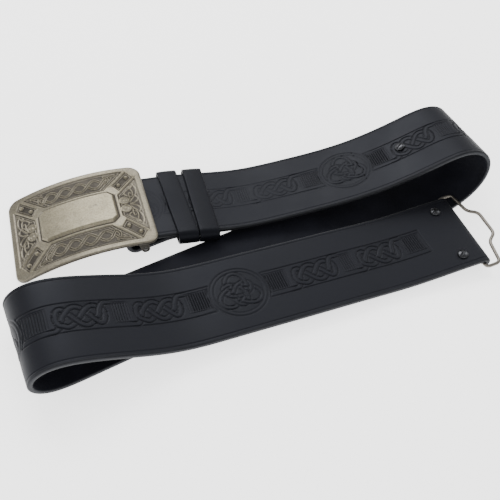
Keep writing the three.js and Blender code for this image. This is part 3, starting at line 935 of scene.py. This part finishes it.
def side_lines():
    """Two cords round the corners of the short panels, looped over one another."""
    a = [(34.2, 2.0), (36.8, 5.6), (39.6, 9.8), (39.9, 15.5), (38.0, 19.2), (35.8, 16.0), (37.3, 11.4), (36.6, 7.0), (33.2, 7.9), (31.8, 10.2), (34.0, 13.2), (36.8, 15.0), (39.6, 20.6)]
    b = [(34.2, 0.2), (37.5, 1.4), (40.0, 4.6), (37.6, 8.6), (35.0, 10.4), (34.6, 6.0), (35.4, 3.0)]
    return [catmull(a, per=5), catmull(b, per=5)]


TOP_LINES = top_lines()
SIDE_LINES = side_lines()


def cord_height(d):
    """A cord of two thin ridges with a channel between."""
    return FLOOR + 0.92 * np.exp(-(((d - 0.70) / 0.30) ** 2))


def fine_height(d):
    return FLOOR + 0.88 * np.exp(-((d / 0.42) ** 2))


def plate_relief(u, v, half):
    """Height of the plate's face above its smooth surface, with its distances to the cartouche, the panels and the
    rim.
    """
    h = np.zeros_like(u)
    au, av = np.abs(u), np.abs(v)
    # rounded rim
    du = PLATE_L - au
    dv = half - av
    edge = np.minimum(dv, du + 1e-9)
    corner = (au > PLATE_L - CORNER) & (av > PLATE_H - CORNER)
    rc = np.hypot(au - (PLATE_L - CORNER), av - (PLATE_H - CORNER))
    edge = np.where(corner, CORNER - rc, np.minimum(du, PLATE_H - av))
    edge = np.clip(edge, 0, None)
    roll = 1.5
    h -= np.where(edge < roll, 1.15 * (1 - np.sqrt(np.clip(1 - ((roll - edge) / roll) ** 2, 0, 1))), 0)
    # swell of the rim and a shallow dip of the framing
    h += -0.12 * smoothstep(2.4, 4.2, edge)
    bright = np.ones_like(u)

    def sink(dist, depth=FLOOR, wall=0.45):
        return depth * smoothstep(0.0, wall, -dist)

    top = polygon_distance(u, av, TOP_POLY)
    side = polygon_distance(au, v, SIDE_POLY)
    boss = polygon_distance(au, av, BOSS_POLY)
    h = np.where(top < 0, sink(top), h)
    h = np.where(side < 0, sink(side), h)
    h = np.where(boss < 0, sink(boss, -0.95, 0.3), h)
    # raised fillet lines beside the slanting sides, and one all round each panel
    for dist in (top, side):
        for at, wide, tall in ((-1.25, 0.30, 0.62),):
            line = tall * np.exp(-(((dist - at) / wide) ** 2))
            h = np.where(dist < -0.35, h + line, h)
    slant = (au - _top[0]) * DIAG_N[0] + (av - _top[1]) * DIAG_N[1]
    line = 0.62 * np.exp(-(((slant - 2.9) / 0.32) ** 2))
    h = np.where((top < -1.7), h + line, h)
    slant2 = -((au - _side[0]) * DIAG_N[0] + (av - _side[1]) * DIAG_N[1])
    line = 0.62 * np.exp(-(((slant2 - 2.5) / 0.30) ** 2))
    h = np.where((side < -1.6) & (av > 9.0), h + line, h)
    # ridges each side of the boss panels
    for off in (4.25, -4.0):
        d = (au - BOSS_MID[0]) * DIAG_N[0] + (av - BOSS_MID[1]) * DIAG_N[1] - off
        lengthwise = (au - BOSS_MID[0]) * DIAG[0] + (av - BOSS_MID[1]) * DIAG[1]
        on = np.exp(-((d / 0.34) ** 2)) * (1 - smoothstep(8.6, 9.6, np.abs(lengthwise)))
        beside = np.exp(-(((np.abs(d) - 0.85) / 0.30) ** 2)) * (1 - smoothstep(8.6, 9.6, np.abs(lengthwise)))
        h = h + (0.26 * on - 0.16 * beside) * (top > 0) * (side > 0)
    # a raised edge round every panel, on the framing
    for dist in (top, side, boss):
        h = h + 0.13 * np.exp(-(((dist - 0.45) / 0.28) ** 2)) * (dist > 0) * (edge > 2.6)
    line = 0.66 * np.exp(-(((boss + 0.95) / 0.25) ** 2))
    h = np.where(boss < -0.3, h + line, h)
    # fine lines along the field of the long panels and a pitted field in the short ones
    h = np.where(top < -1.75, h + 0.17 * (0.5 + 0.5 * np.cos(2 * np.pi * (av + 0.25 * np.sin(au * 0.55)) / 1.15)), h)
    h = np.where(side < -1.7, h + 0.10 * (0.5 + 0.5 * np.cos(2 * np.pi * au / 1.1) * np.cos(2 * np.pi * v / 1.1)), h)
    # cords
    near = (top < -1.6) & (slant > -10)
    if near.any():
        k = interlace(u[near] * np.where(v[near] > 0, 1, -1), av[near], TOP_LINES, 1.35, cord_height, 2.2)
        part = h[near]
        h[near] = np.where(np.isnan(k), part, np.maximum(k, part * 0 + k))
    near = side < -1.5
    if near.any():
        k = interlace(au[near], v[near], SIDE_LINES + [line2 * np.array([1, -1]) for line2 in SIDE_LINES], 0.85, fine_height, 1.5)
        part = h[near]
        h[near] = np.where(np.isnan(k), part, np.maximum(part, k))
        # two round bosses with a coil each
        for sign in (1, -1):
            cx, cy = 30.7, sign * 3.75
            d = np.hypot(au - cx, v - cy)
            ang = np.arctan2((v - cy) * sign, au - cx)
            coil = 0.5 + 0.5 * np.cos(2 * np.pi * d / 1.55 - ang)
            disc = FLOOR + 0.35 + 0.42 * coil * (d > 0.5)
            disc = np.where(d < 0.6, FLOOR + 0.95, disc)
            rim = FLOOR + 0.9
            disc = np.where((d > 2.65), rim, disc)
            on = d < 3.3
            h = np.where(on & (side < -0.3), disc, h)
    # small bosses
    for bu, bv in BOSSES:
        d = np.hypot(au - bu, av - bv)
        dome = 1.15 * np.sqrt(np.clip(1 - (d / 1.45) ** 2, 0, 1)) - 0.45
        h = np.where(d < 1.45, np.maximum(h, dome), np.where(d < 2.2, h - 0.25 * (1 - smoothstep(1.6, 2.2, d)), h))
    # cartouche with cut corners and bevelled sides, in a groove
    c = 3.6
    cart = np.maximum(np.maximum(au - 24.8, av - 13.4), (au + av - (24.8 + 13.4 - c)) / math.sqrt(2))
    plateau = 1.5 * np.clip(-cart / 1.15, 0, 1) - 0.06 * smoothstep(1.5, 2.1, -cart)
    h = np.where(cart < 0, plateau - 0.12, h)
    h = h - 0.62 * np.exp(-(((cart - 0.42) / 0.42) ** 2)) * (cart > -0.2)
    for cu, cv, length, angle in ((8.5, -2.4, 3.0, 0.10), (11.5, -3.1, 4.4, -0.16), (13.0, -2.2, 2.4, 0.32), (-14.0, 5.0, 2.6, 0.7), (2.0, 7.2, 3.4, -0.5)):
        along = (u - cu) * math.cos(angle) + (v - cv) * math.sin(angle)
        across = -(u - cu) * math.sin(angle) + (v - cv) * math.cos(angle)
        h = h - 0.10 * np.exp(-((across / 0.26) ** 2)) * (1 - smoothstep(length / 2 - 0.8, length / 2, np.abs(along)))
    return h, cart, top, side, boss, edge


def half_height(u):
    d = np.clip(np.abs(u) - (PLATE_L - CORNER), 0, None)
    return PLATE_H - CORNER + np.sqrt(np.clip(CORNER ** 2 - d * d, 0, None))


def plate_piece(name, materials):
    us = [-PLATE_L]
    c = PLATE_L - CORNER
    corner = c + CORNER * np.sin(np.linspace(0, math.pi / 2, 24))
    straight = np.linspace(-c, c, 262)
    us = np.concatenate([-corner[::-1], straight[1:-1], corner])
    etas = np.linspace(-1, 1, 261)
    half = half_height(us)
    U = np.repeat(us[:, None], len(etas), 1)
    V = half[:, None] * etas[None, :]
    H, cart, top, side, boss, edge = plate_relief(U, V, half[:, None])
    face = on_plate(U, V, H)
    low = -PLATE_T + TAPER * U / PLATE_L
    tuck = 0.5 * (1 - smoothstep(0.0, 0.8, edge))
    back = on_plate(U, V, low + tuck * 0.6)
    n, m = U.shape
    verts = np.concatenate([face.reshape(-1, 3), back.reshape(-1, 3)])
    i = np.arange(n - 1)[:, None]
    k = np.arange(m - 1)[None, :]
    a = i * m + k
    topf = np.stack([a, a + 1, a + m + 1, a + m], -1).reshape(-1, 4)
    off = n * m
    # the back is straight across, so it takes one face from edge to edge past its first columns
    few = [0, 1, 2, 3, 4, m - 5, m - 4, m - 3, m - 2, m - 1]
    botf = []
    for r in range(n - 1):
        for p, q in zip(few[:-1], few[1:]):
            if r in (0, n - 2):
                lo_row = list(range(p, q + 1)) if r == 0 else [p, q]
                hi_row = list(range(p, q + 1)) if r == n - 2 else [p, q]
                loop = [off + r * m + z for z in lo_row] + [off + (r + 1) * m + z for z in hi_row[::-1]]
            else:
                loop = [off + r * m + p, off + r * m + q, off + (r + 1) * m + q, off + (r + 1) * m + p]
            botf.append(tuple(loop[::-1]))
    walls = []
    border = list(range(m)) + [r * m + m - 1 for r in range(1, n)] + [(n - 1) * m + z for z in range(m - 2, -1, -1)] + [r * m for r in range(n - 2, 0, -1)]
    for z in range(len(border)):
        p, q = border[z], border[(z + 1) % len(border)]
        walls.append((q, p, p + off, q + off))
    # orientation
    f = topf[len(topf) // 2]
    nrm = np.cross(verts[f[1]] - verts[f[0]], verts[f[2]] - verts[f[0]])
    faces = [tuple(q) for q in topf.tolist()] + botf + walls
    if np.dot(nrm, pz_) < 0:
        faces = [q[::-1] for q in faces]
    # darker with the depth of the recesses: partly patina, partly painted shade
    patina_and_shade = np.clip(-(H + 0.22) / 0.72, 0, 1)
    framing = smoothstep(3.4, 4.6, edge) * (top > 0) * (side > 0) * (boss > 0) * (cart > 0)
    panels = np.minimum(np.minimum(top, side), boss)
    framing = framing * (1 - 0.9 * np.exp(-(((panels - 0.45) / 0.35) ** 2))) + 0.9 * framing * np.exp(-(((panels - 1.25) / 0.35) ** 2))
    # painted shade: the groove round the cartouche is darkened beyond its depth
    groove_painted_shade = 0.55 * np.exp(-(((cart - 0.5) / 0.5) ** 2)) * (cart > 0)
    rim_tone = 0.20 * (1 - smoothstep(3.4, 4.6, edge))
    # a scuff shows a little darker in the polished face
    face_level = 1.38 - 0.06 * smoothstep(1.5, 2.1, -cart)
    scuff = 4.5 * np.clip(face_level - H, 0, 0.1) * (cart < -2.2)
    patina_and_shade = np.clip(patina_and_shade + 0.12 * framing + rim_tone + groove_painted_shade + scuff, 0, 1)
    wear_and_shade = np.concatenate([patina_and_shade.ravel(), np.full(n * m, 0.25)])
    plain = np.concatenate([(smoothstep(0.5, 1.1, -cart)).ravel(), np.zeros(n * m)])
    used = np.zeros(len(verts), bool)
    for q in faces:
        used[list(q)] = True
    index = np.cumsum(used) - 1
    faces = [tuple(int(index[z]) for z in q) for q in faces]
    obj = make(name, verts[used], faces, materials, attributes={"patina_and_shade": wear_and_shade[used], "plain": plain[used]})
    return obj


def extrude(outline, depth, x, y, z, origin, hole=None, rim=0):
    """A prism of an outline in x and y, pushed along z. A round hole is made of a strip between it and the outline."""
    pts = np.array(outline, float)
    a = np.array([origin + x * p[0] + y * p[1] for p in pts])
    b = a + z * depth
    if hole is None:
        return loft([a, b])
    h = np.array(hole, float)
    c = np.array([origin + x * p[0] + y * p[1] for p in h])
    d = c + z * depth
    n = len(pts)
    verts = np.vstack([a, b, c, d])
    faces = []
    for i in range(n):
        q = (i + 1) % n
        faces.append((i, q, n + q, n + i))
        faces.append((2 * n + q, 2 * n + i, 3 * n + i, 3 * n + q))
        faces.append((q, i, 2 * n + i, 2 * n + q))
        faces.append((n + i, n + q, 3 * n + q, 3 * n + i))
    if signed_volume(verts, faces) < 0:
        faces = [f[::-1] for f in faces]
    return verts, faces


def bar_place():
    p, t, b, n = frame_at(BAR_S)
    bar = p - n * BAR_DEPTH
    rel = bar - CENTRE
    bx, by = rel @ px_, rel @ py_
    lean = 0.9 * (b[2] - py_[2])
    direction = unit(py_ + pz_ * lean)
    return bar, bx, by, direction


def lugs_and_hook(name, materials):
    bar, bx, by, direction = bar_place()
    u_bar = math.asin(bx / BEND_R) * BEND_R
    in_plate = float((on_plate(u_bar + LUG_R + LUG_FLARE, 0, -0.9) - CENTRE) @ pz_)
    parts = []
    for sign in (-1, 1):
        v = by + (LUG_ACROSS if sign > 0 else -LUG_ACROSS - LUG_T)
        at = bar + direction * (v - by)
        roof = in_plate - float((at - CENTRE) @ pz_)
        count = 40
        outline, hole = [], []
        for i in range(count):
            q = 2 * math.pi * i / count
            cx, cy = math.cos(q), math.sin(q)
            if cy <= 0:
                outline.append((LUG_R * cx, LUG_R * cy))
            else:
                # out to a tapering block below the plate
                reach = min(
                    (LUG_R + LUG_FLARE) / abs(cx) if abs(cx) > 1e-6 else 1e9,
                    roof / cy,
                )
                ex, ey = reach * cx, reach * cy
                lim = LUG_R + LUG_FLARE * max(ey, 0) / roof
                if abs(ex) > lim:
                    # meet the slanting side: x = R + flare*y/roof with y = x*cy/|cx|
                    sx = LUG_R / (1 - LUG_FLARE / roof * cy / abs(cx))
                    ex, ey = math.copysign(sx, cx), sx * cy / abs(cx)
                outline.append((ex, ey))
            hole.append(((BAR_R + 0.25) * cx, (BAR_R + 0.25) * cy))
        parts.append(extrude(outline, LUG_T, px_, pz_, py_, at, hole))
    t, d = HOOK_T, HOOK_ROOM
    shape = [(0, 0.8), (0, -d - t * 0.55), (t * 0.3, -d - t * 0.9), (t * 0.75, -d - t), (HOOK_REACH - 0.5, -d - t), (HOOK_REACH, -d - t + 0.5), (HOOK_REACH, -d - 0.1), (HOOK_REACH - 0.3, -d), (t + 0.3, -d), (t, -d + 0.3), (t, 0.8)]
    at = on_plate(HOOK_ALONG, 0, -PLATE_T)
    nrm = unit(on_plate(HOOK_ALONG, 0, 1) - on_plate(HOOK_ALONG, 0, 0))
    along = unit(np.cross(py_, nrm))
    if along @ px_ < 0:
        along = -along
    third = np.cross(along, nrm)
    parts.append(extrude(shape, HOOK_WIDTH, along, nrm, third, at - third * HOOK_WIDTH / 2))
    verts, faces = merge(parts)
    # painted shade: the lugs and hook take a dark pewter tone for the shade under the plate
    obj = make(name, verts, faces, materials, smooth=False, attributes={"patina_and_shade": np.full(len(verts), 0.9), "plain": np.zeros(len(verts))})
    bevelled(obj, 0.25, 2, 40)
    sharpen(obj, 35)
    return obj


def bar_piece(name, materials):
    bar, bx, by, direction = bar_place()
    span = LUG_ACROSS + LUG_T
    x = unit(px_ - direction * (px_ @ direction))
    y = np.cross(direction, x)
    rings = []
    for along, r in ((-span, 0.9), (-span + 0.2, 1.3), (-span + 0.5, BAR_R), (span - 0.5, BAR_R), (span - 0.2, 1.3), (span, 0.9)):
        rings.append([bar + direction * along + (x * math.cos(q) + y * math.sin(q)) * r for q in np.linspace(0, 2 * math.pi, 33)[:-1]])
    verts, faces = loft(rings)
    obj = make(name, verts, faces, materials, attributes={"patina_and_shade": np.full(len(verts), 0.3), "plain": np.zeros(len(verts))})
    sharpen(obj, 40)
    return obj


# ---------------------------------------------------------------- materials
def material(name):
    m = bpy.data.materials.new(name)
    m.use_nodes = True
    nt = m.node_tree
    return m, nt, nt.nodes["Principled BSDF"]


def node(nt, kind, **values):
    n = nt.nodes.new(kind)
    for key, value in values.items():
        if key in n.inputs:
            n.inputs[key].default_value = value
        else:
            setattr(n, key, value)
    return n


def ramp(nt, stops):
    r = nt.nodes.new("ShaderNodeValToRGB")
    e = r.color_ramp.elements
    while len(e) < len(stops):
        e.new(0.5)
    for el, (pos, col) in zip(e, stops):
        el.position = pos
        el.color = (*col, 1) if len(col) == 3 else col
    return r


def grey(v):
    return (v, v, v)


def leather(name, base, rough, grain=0.10, fibre=0.0, pressed_shade=True, patches=0.35, spec=0.3):
    m, nt, b = material(name)
    link = nt.links.new
    co = node(nt, "ShaderNodeTexCoord")
    broad = node(nt, "ShaderNodeTexNoise", Scale=28.0, Detail=4.0, Roughness=0.55)
    link(co.outputs["Object"], broad.inputs["Vector"])
    fine = node(nt, "ShaderNodeTexNoise", Scale=700.0, Detail=5.0, Roughness=0.6)
    link(co.outputs["Object"], fine.inputs["Vector"])
    pores = node(nt, "ShaderNodeTexVoronoi", Scale=1500.0)
    link(co.outputs["Object"], pores.inputs["Vector"])
    lo = tuple(c * (1 - patches) for c in base)
    hi = tuple(c * (1 + patches) for c in base)
    col = ramp(nt, [(0.30, lo), (0.70, hi)])
    link(broad.outputs["Fac"], col.inputs["Fac"])
    colour = col.outputs["Color"]
    # painted shade in the pressed pattern: the colour is mixed towards a third of the base where the pattern is
    # deepest
    if pressed_shade:
        at = node(nt, "ShaderNodeAttribute", attribute_name="pressed_shade")
        mix = node(nt, "ShaderNodeMix", data_type="RGBA")
        link(at.outputs["Fac"], mix.inputs["Factor"])
        link(colour, mix.inputs[6])
        mix.inputs[7].default_value = (base[0] * 0.35, base[1] * 0.35, base[2] * 0.35, 1)
        colour = mix.outputs[2]
    link(colour, b.inputs["Base Color"])
    rr = node(nt, "ShaderNodeMapRange")
    rr.inputs["From Min"].default_value = 0.3
    rr.inputs["From Max"].default_value = 0.7
    rr.inputs["To Min"].default_value = rough - 0.05
    rr.inputs["To Max"].default_value = rough + 0.07
    link(broad.outputs["Fac"], rr.inputs["Value"])
    link(rr.outputs["Result"], b.inputs["Roughness"])
    bump1 = node(nt, "ShaderNodeBump", Strength=grain, Distance=0.00022)
    link(fine.outputs["Fac"], bump1.inputs["Height"])
    bump2 = node(nt, "ShaderNodeBump", Strength=grain * 0.8, Distance=0.00012)
    link(pores.outputs["Distance"], bump2.inputs["Height"])
    link(bump1.outputs["Normal"], bump2.inputs["Normal"])
    last = bump2
    if fibre:
        f = node(nt, "ShaderNodeTexNoise", Scale=260.0, Detail=8.0, Roughness=0.75)
        link(co.outputs["Object"], f.inputs["Vector"])
        bump3 = node(nt, "ShaderNodeBump", Strength=fibre, Distance=0.0006)
        link(f.outputs["Fac"], bump3.inputs["Height"])
        link(bump2.outputs["Normal"], bump3.inputs["Normal"])
        last = bump3
    link(last.outputs["Normal"], b.inputs["Normal"])
    b.inputs["Specular IOR Level"].default_value = spec
    b.inputs["Specular Tint"].default_value = (0.82, 0.865, 1.0, 1)
    return m


def pewter(name, relief=True):
    m, nt, b = material(name)
    link = nt.links.new
    co = node(nt, "ShaderNodeTexCoord")
    at = node(nt, "ShaderNodeAttribute", attribute_name="patina_and_shade")
    plain = node(nt, "ShaderNodeAttribute", attribute_name="plain")
    broad = node(nt, "ShaderNodeTexNoise", Scale=120.0, Detail=5.0, Roughness=0.6)
    link(co.outputs["Object"], broad.inputs["Vector"])
    fine = node(nt, "ShaderNodeTexNoise", Scale=1400.0, Detail=4.0, Roughness=0.7)
    link(co.outputs["Object"], fine.inputs["Vector"])
    # darker in the recesses, partly patina and partly painted shade; worn bright on what stands up
    add = node(nt, "ShaderNodeMath", operation="MULTIPLY_ADD")
    link(broad.outputs["Fac"], add.inputs[0])
    add.inputs[1].default_value = 0.30
    link(at.outputs["Fac"], add.inputs[2])
    col = ramp(nt, [(0.10, (0.252, 0.226, 0.160)), (0.42, (0.222, 0.202, 0.158)), (0.80, (0.226, 0.206, 0.172)), (1.0, (0.088, 0.080, 0.069))])
    link(add.outputs[0], col.inputs["Fac"])
    # cloudy wear over everything
    cloud = node(nt, "ShaderNodeTexNoise", Scale=55.0, Detail=6.0, Roughness=0.65, Distortion=0.6)
    link(co.outputs["Object"], cloud.inputs["Vector"])
    tone = ramp(nt, [(0.32, grey(0.78)), (0.68, grey(1.08))])
    link(cloud.outputs["Fac"], tone.inputs["Fac"])
    wear_and_shade = node(nt, "ShaderNodeMix", data_type="RGBA", blend_type="MULTIPLY")
    wear_and_shade.inputs[0].default_value = 1.0
    link(col.outputs["Color"], wear_and_shade.inputs[6])
    link(tone.outputs["Color"], wear_and_shade.inputs[7])
    speck = node(nt, "ShaderNodeTexNoise", Scale=900.0, Detail=3.0, Roughness=0.7)
    link(co.outputs["Object"], speck.inputs["Vector"])
    spots = ramp(nt, [(0.36, grey(0.74)), (0.56, grey(1.05))])
    link(speck.outputs["Fac"], spots.inputs["Fac"])
    wear_and_shade_spotted = node(nt, "ShaderNodeMix", data_type="RGBA", blend_type="MULTIPLY")
    wear_and_shade_spotted.inputs[0].default_value = 1.0
    link(wear_and_shade.outputs[2], wear_and_shade_spotted.inputs[6])
    link(spots.outputs["Color"], wear_and_shade_spotted.inputs[7])
    link(wear_and_shade_spotted.outputs[2], b.inputs["Base Color"])
    b.inputs["Metallic"].default_value = 1.0
    rr = ramp(nt, [(0.10, grey(0.40)), (0.9, grey(0.60))])
    link(add.outputs[0], rr.inputs["Fac"])
    link(rr.outputs["Color"], b.inputs["Roughness"])
    bump = node(nt, "ShaderNodeBump", Strength=0.22, Distance=0.0002)
    link(fine.outputs["Fac"], bump.inputs["Height"])
    # short scratches on the plain cartouche
    st = node(nt, "ShaderNodeMapping")
    st.inputs["Rotation"].default_value = (0, 0, 0.55)
    st.inputs["Scale"].default_value = (30, 900, 200)
    link(co.outputs["Object"], st.inputs["Vector"])
    scr = node(nt, "ShaderNodeTexNoise", Scale=1.0, Detail=3.0, Roughness=0.6)
    link(st.outputs["Vector"], scr.inputs["Vector"])
    mul = node(nt, "ShaderNodeMath", operation="MULTIPLY")
    link(scr.outputs["Fac"], mul.inputs[0])
    link(plain.outputs["Fac"], mul.inputs[1])
    bump2 = node(nt, "ShaderNodeBump", Strength=0.10, Distance=0.0002)
    link(mul.outputs[0], bump2.inputs["Height"])
    link(bump.outputs["Normal"], bump2.inputs["Normal"])
    link(bump2.outputs["Normal"], b.inputs["Normal"])
    return m


def plain_metal(name, colour, rough):
    m, nt, b = material(name)
    link = nt.links.new
    co = node(nt, "ShaderNodeTexCoord")
    n = node(nt, "ShaderNodeTexNoise", Scale=300.0, Detail=4.0)
    link(co.outputs["Object"], n.inputs["Vector"])
    r = ramp(nt, [(0.3, tuple(c * 0.82 for c in colour)), (0.7, colour)])
    link(n.outputs["Fac"], r.inputs["Fac"])
    link(r.outputs["Color"], b.inputs["Base Color"])
    b.inputs["Metallic"].default_value = 1.0
    b.inputs["Roughness"].default_value = rough
    bump = node(nt, "ShaderNodeBump", Strength=0.05, Distance=0.0001)
    link(n.outputs["Fac"], bump.inputs["Height"])
    link(bump.outputs["Normal"], b.inputs["Normal"])
    return m


FACE = leather("leather_face", (0.0054, 0.0056, 0.0078), 0.50, grain=0.12, patches=0.25, spec=0.19)
EDGE = leather("leather_edge", (0.0105, 0.0108, 0.0115), 0.50, grain=0.16, pressed_shade=False, patches=0.35, spec=0.24)
FLESH = leather("leather_flesh", (0.0084, 0.0088, 0.0125), 0.72, grain=0.25, fibre=0.30, pressed_shade=False, patches=0.45, spec=0.14)
KEEPER = leather("keeper_leather_face", (0.0036, 0.0038, 0.0056), 0.46, grain=0.08, pressed_shade=False, patches=0.2, spec=0.13)
PEWTER = pewter("pewter_cast")
NICKEL = plain_metal("nickel_polished", (0.200, 0.184, 0.162), 0.36)
STUD = plain_metal("stud_dark", (0.060, 0.061, 0.066), 0.30)
STEEL = plain_metal("bar_metal", (0.11, 0.107, 0.10), 0.40)

# ---------------------------------------------------------------- the pieces
strap_materials = [FACE, EDGE, FLESH]
SEAMS = (245.0, 345.0, 572.0, 724.0)
front = strap_piece("strap_front", S_START, SEAMS[0], strap_materials)
left = strap_piece("strap_left", SEAMS[0], SEAMS[1], strap_materials)
base = strap_piece("strap_base", SEAMS[1], SEAMS[2], strap_materials, central=48)
right_bend = strap_piece("strap_right", SEAMS[2], SEAMS[3], strap_materials)
back = strap_piece("strap_back", SEAMS[3], S_END, strap_materials)
for o in (front, left, base, right_bend, back):
    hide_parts("strap")
    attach(o, "belt")

k1 = keeper_piece("keeper_1_band", 851.7, 0.065, [KEEPER], 0.3)
k2 = keeper_piece("keeper_2_band", 836.3, 0.0, [KEEPER], 1.9)
for o, n in ((k1, "keeper_1"), (k2, "keeper_2")):
    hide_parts(n)
    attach(o, "belt")

for n, s, across, depth in STUDS:
    o = stud_piece(n + "_screw", s, across, depth, [STUD])
    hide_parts(n)
    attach(o, "belt")

wire = wire_piece("wire_loop_bent", [NICKEL])
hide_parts("wire_loop")
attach(wire, "loop")

plate = plate_piece("buckle_plate_cast", [PEWTER])
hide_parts("buckle_plate")
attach(plate, "buckle")
lugs = lugs_and_hook("buckle_lugs_and_hook", [PEWTER])
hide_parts("buckle_plate")
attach(lugs, "buckle")
bar = bar_piece("buckle_bar_round", [STEEL])
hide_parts("buckle_bar")
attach(bar, "buckle")

# ---------------------------------------------------------------- floor, light, camera
floor_mat, floor_nt, floor_b = material("pale_floor")
floor_b.inputs["Base Color"].default_value = (0.90, 0.90, 0.895, 1)
floor_b.inputs["Roughness"].default_value = 0.85
floor_b.inputs["Specular IOR Level"].default_value = 0.1
floor_b.inputs["Emission Color"].default_value = (1, 1, 1, 1)
floor_b.inputs["Emission Strength"].default_value = 2.0
floor = make("floor", [(-4000, -4000, 0), (4000, -4000, 0), (4000, 4000, 0), (-4000, 4000, 0)], [(0, 1, 2, 3)], [floor_mat], smooth=False)

world = bpy.data.worlds.new("studio")
bpy.context.scene.world = world
world.use_nodes = True
bg = world.node_tree.nodes["Background"]
bg.inputs["Color"].default_value = (1.0, 1.0, 1.0, 1)
bg.inputs["Strength"].default_value = 0.70


def area(name, place, target, size, power):
    light = bpy.data.lights.new(name, "AREA")
    light.energy = power
    light.shape = "RECTANGLE"
    light.size, light.size_y = size
    o = bpy.data.objects.new(name, light)
    bpy.context.scene.collection.objects.link(o)
    o.location = place
    o.rotation_euler = (Vector(target) - Vector(place)).to_track_quat("-Z", "Y").to_euler()
    return o


area("key", (-0.35, 0.75, 0.95), (0, 0, 0), (0.9, 0.6), 11.0)
area("fill", (-1.0, -0.35, 0.8), (0, 0, 0), (0.8, 0.8), 4.0)
area("front", (0.35, -1.15, 0.65), (0, 0, 0), (0.9, 0.5), 3.5)
area("back_right", (0.85, 0.8, 0.9), (0.05, 0, 0), (0.7, 0.7), 5.0)

E, ROLL_C = math.radians(48.1731), math.radians(3.2279)
DIST = 438.4415
eye = DIST * np.array([0, -math.cos(E), math.sin(E)])
fw = -eye / np.linalg.norm(eye)
right = np.array([1.0, 0, 0])
up = np.cross(right, fw)
rr_ = math.cos(ROLL_C) * right + math.sin(ROLL_C) * up
uu_ = -math.sin(ROLL_C) * right + math.cos(ROLL_C) * up
cam_data = bpy.data.cameras.new("camera")
cam_data.sensor_width = 36.0
cam_data.lens = 685.5267 / 500 * 36.0
cam_data.shift_x = (250 - 249.8672) / 500
cam_data.shift_y = (254.5958 - 250) / 500
cam_data.clip_start, cam_data.clip_end = 0.01, 50.0
cam = bpy.data.objects.new("camera", cam_data)
bpy.context.scene.collection.objects.link(cam)
m = Matrix.Identity(4)
for i in range(3):
    m[i][0], m[i][1], m[i][2] = rr_[i], uu_[i], -fw[i]
    m[i][3] = (eye[i] + SHIFT[i]) * MM
cam.matrix_world = m
bpy.context.scene.camera = cam
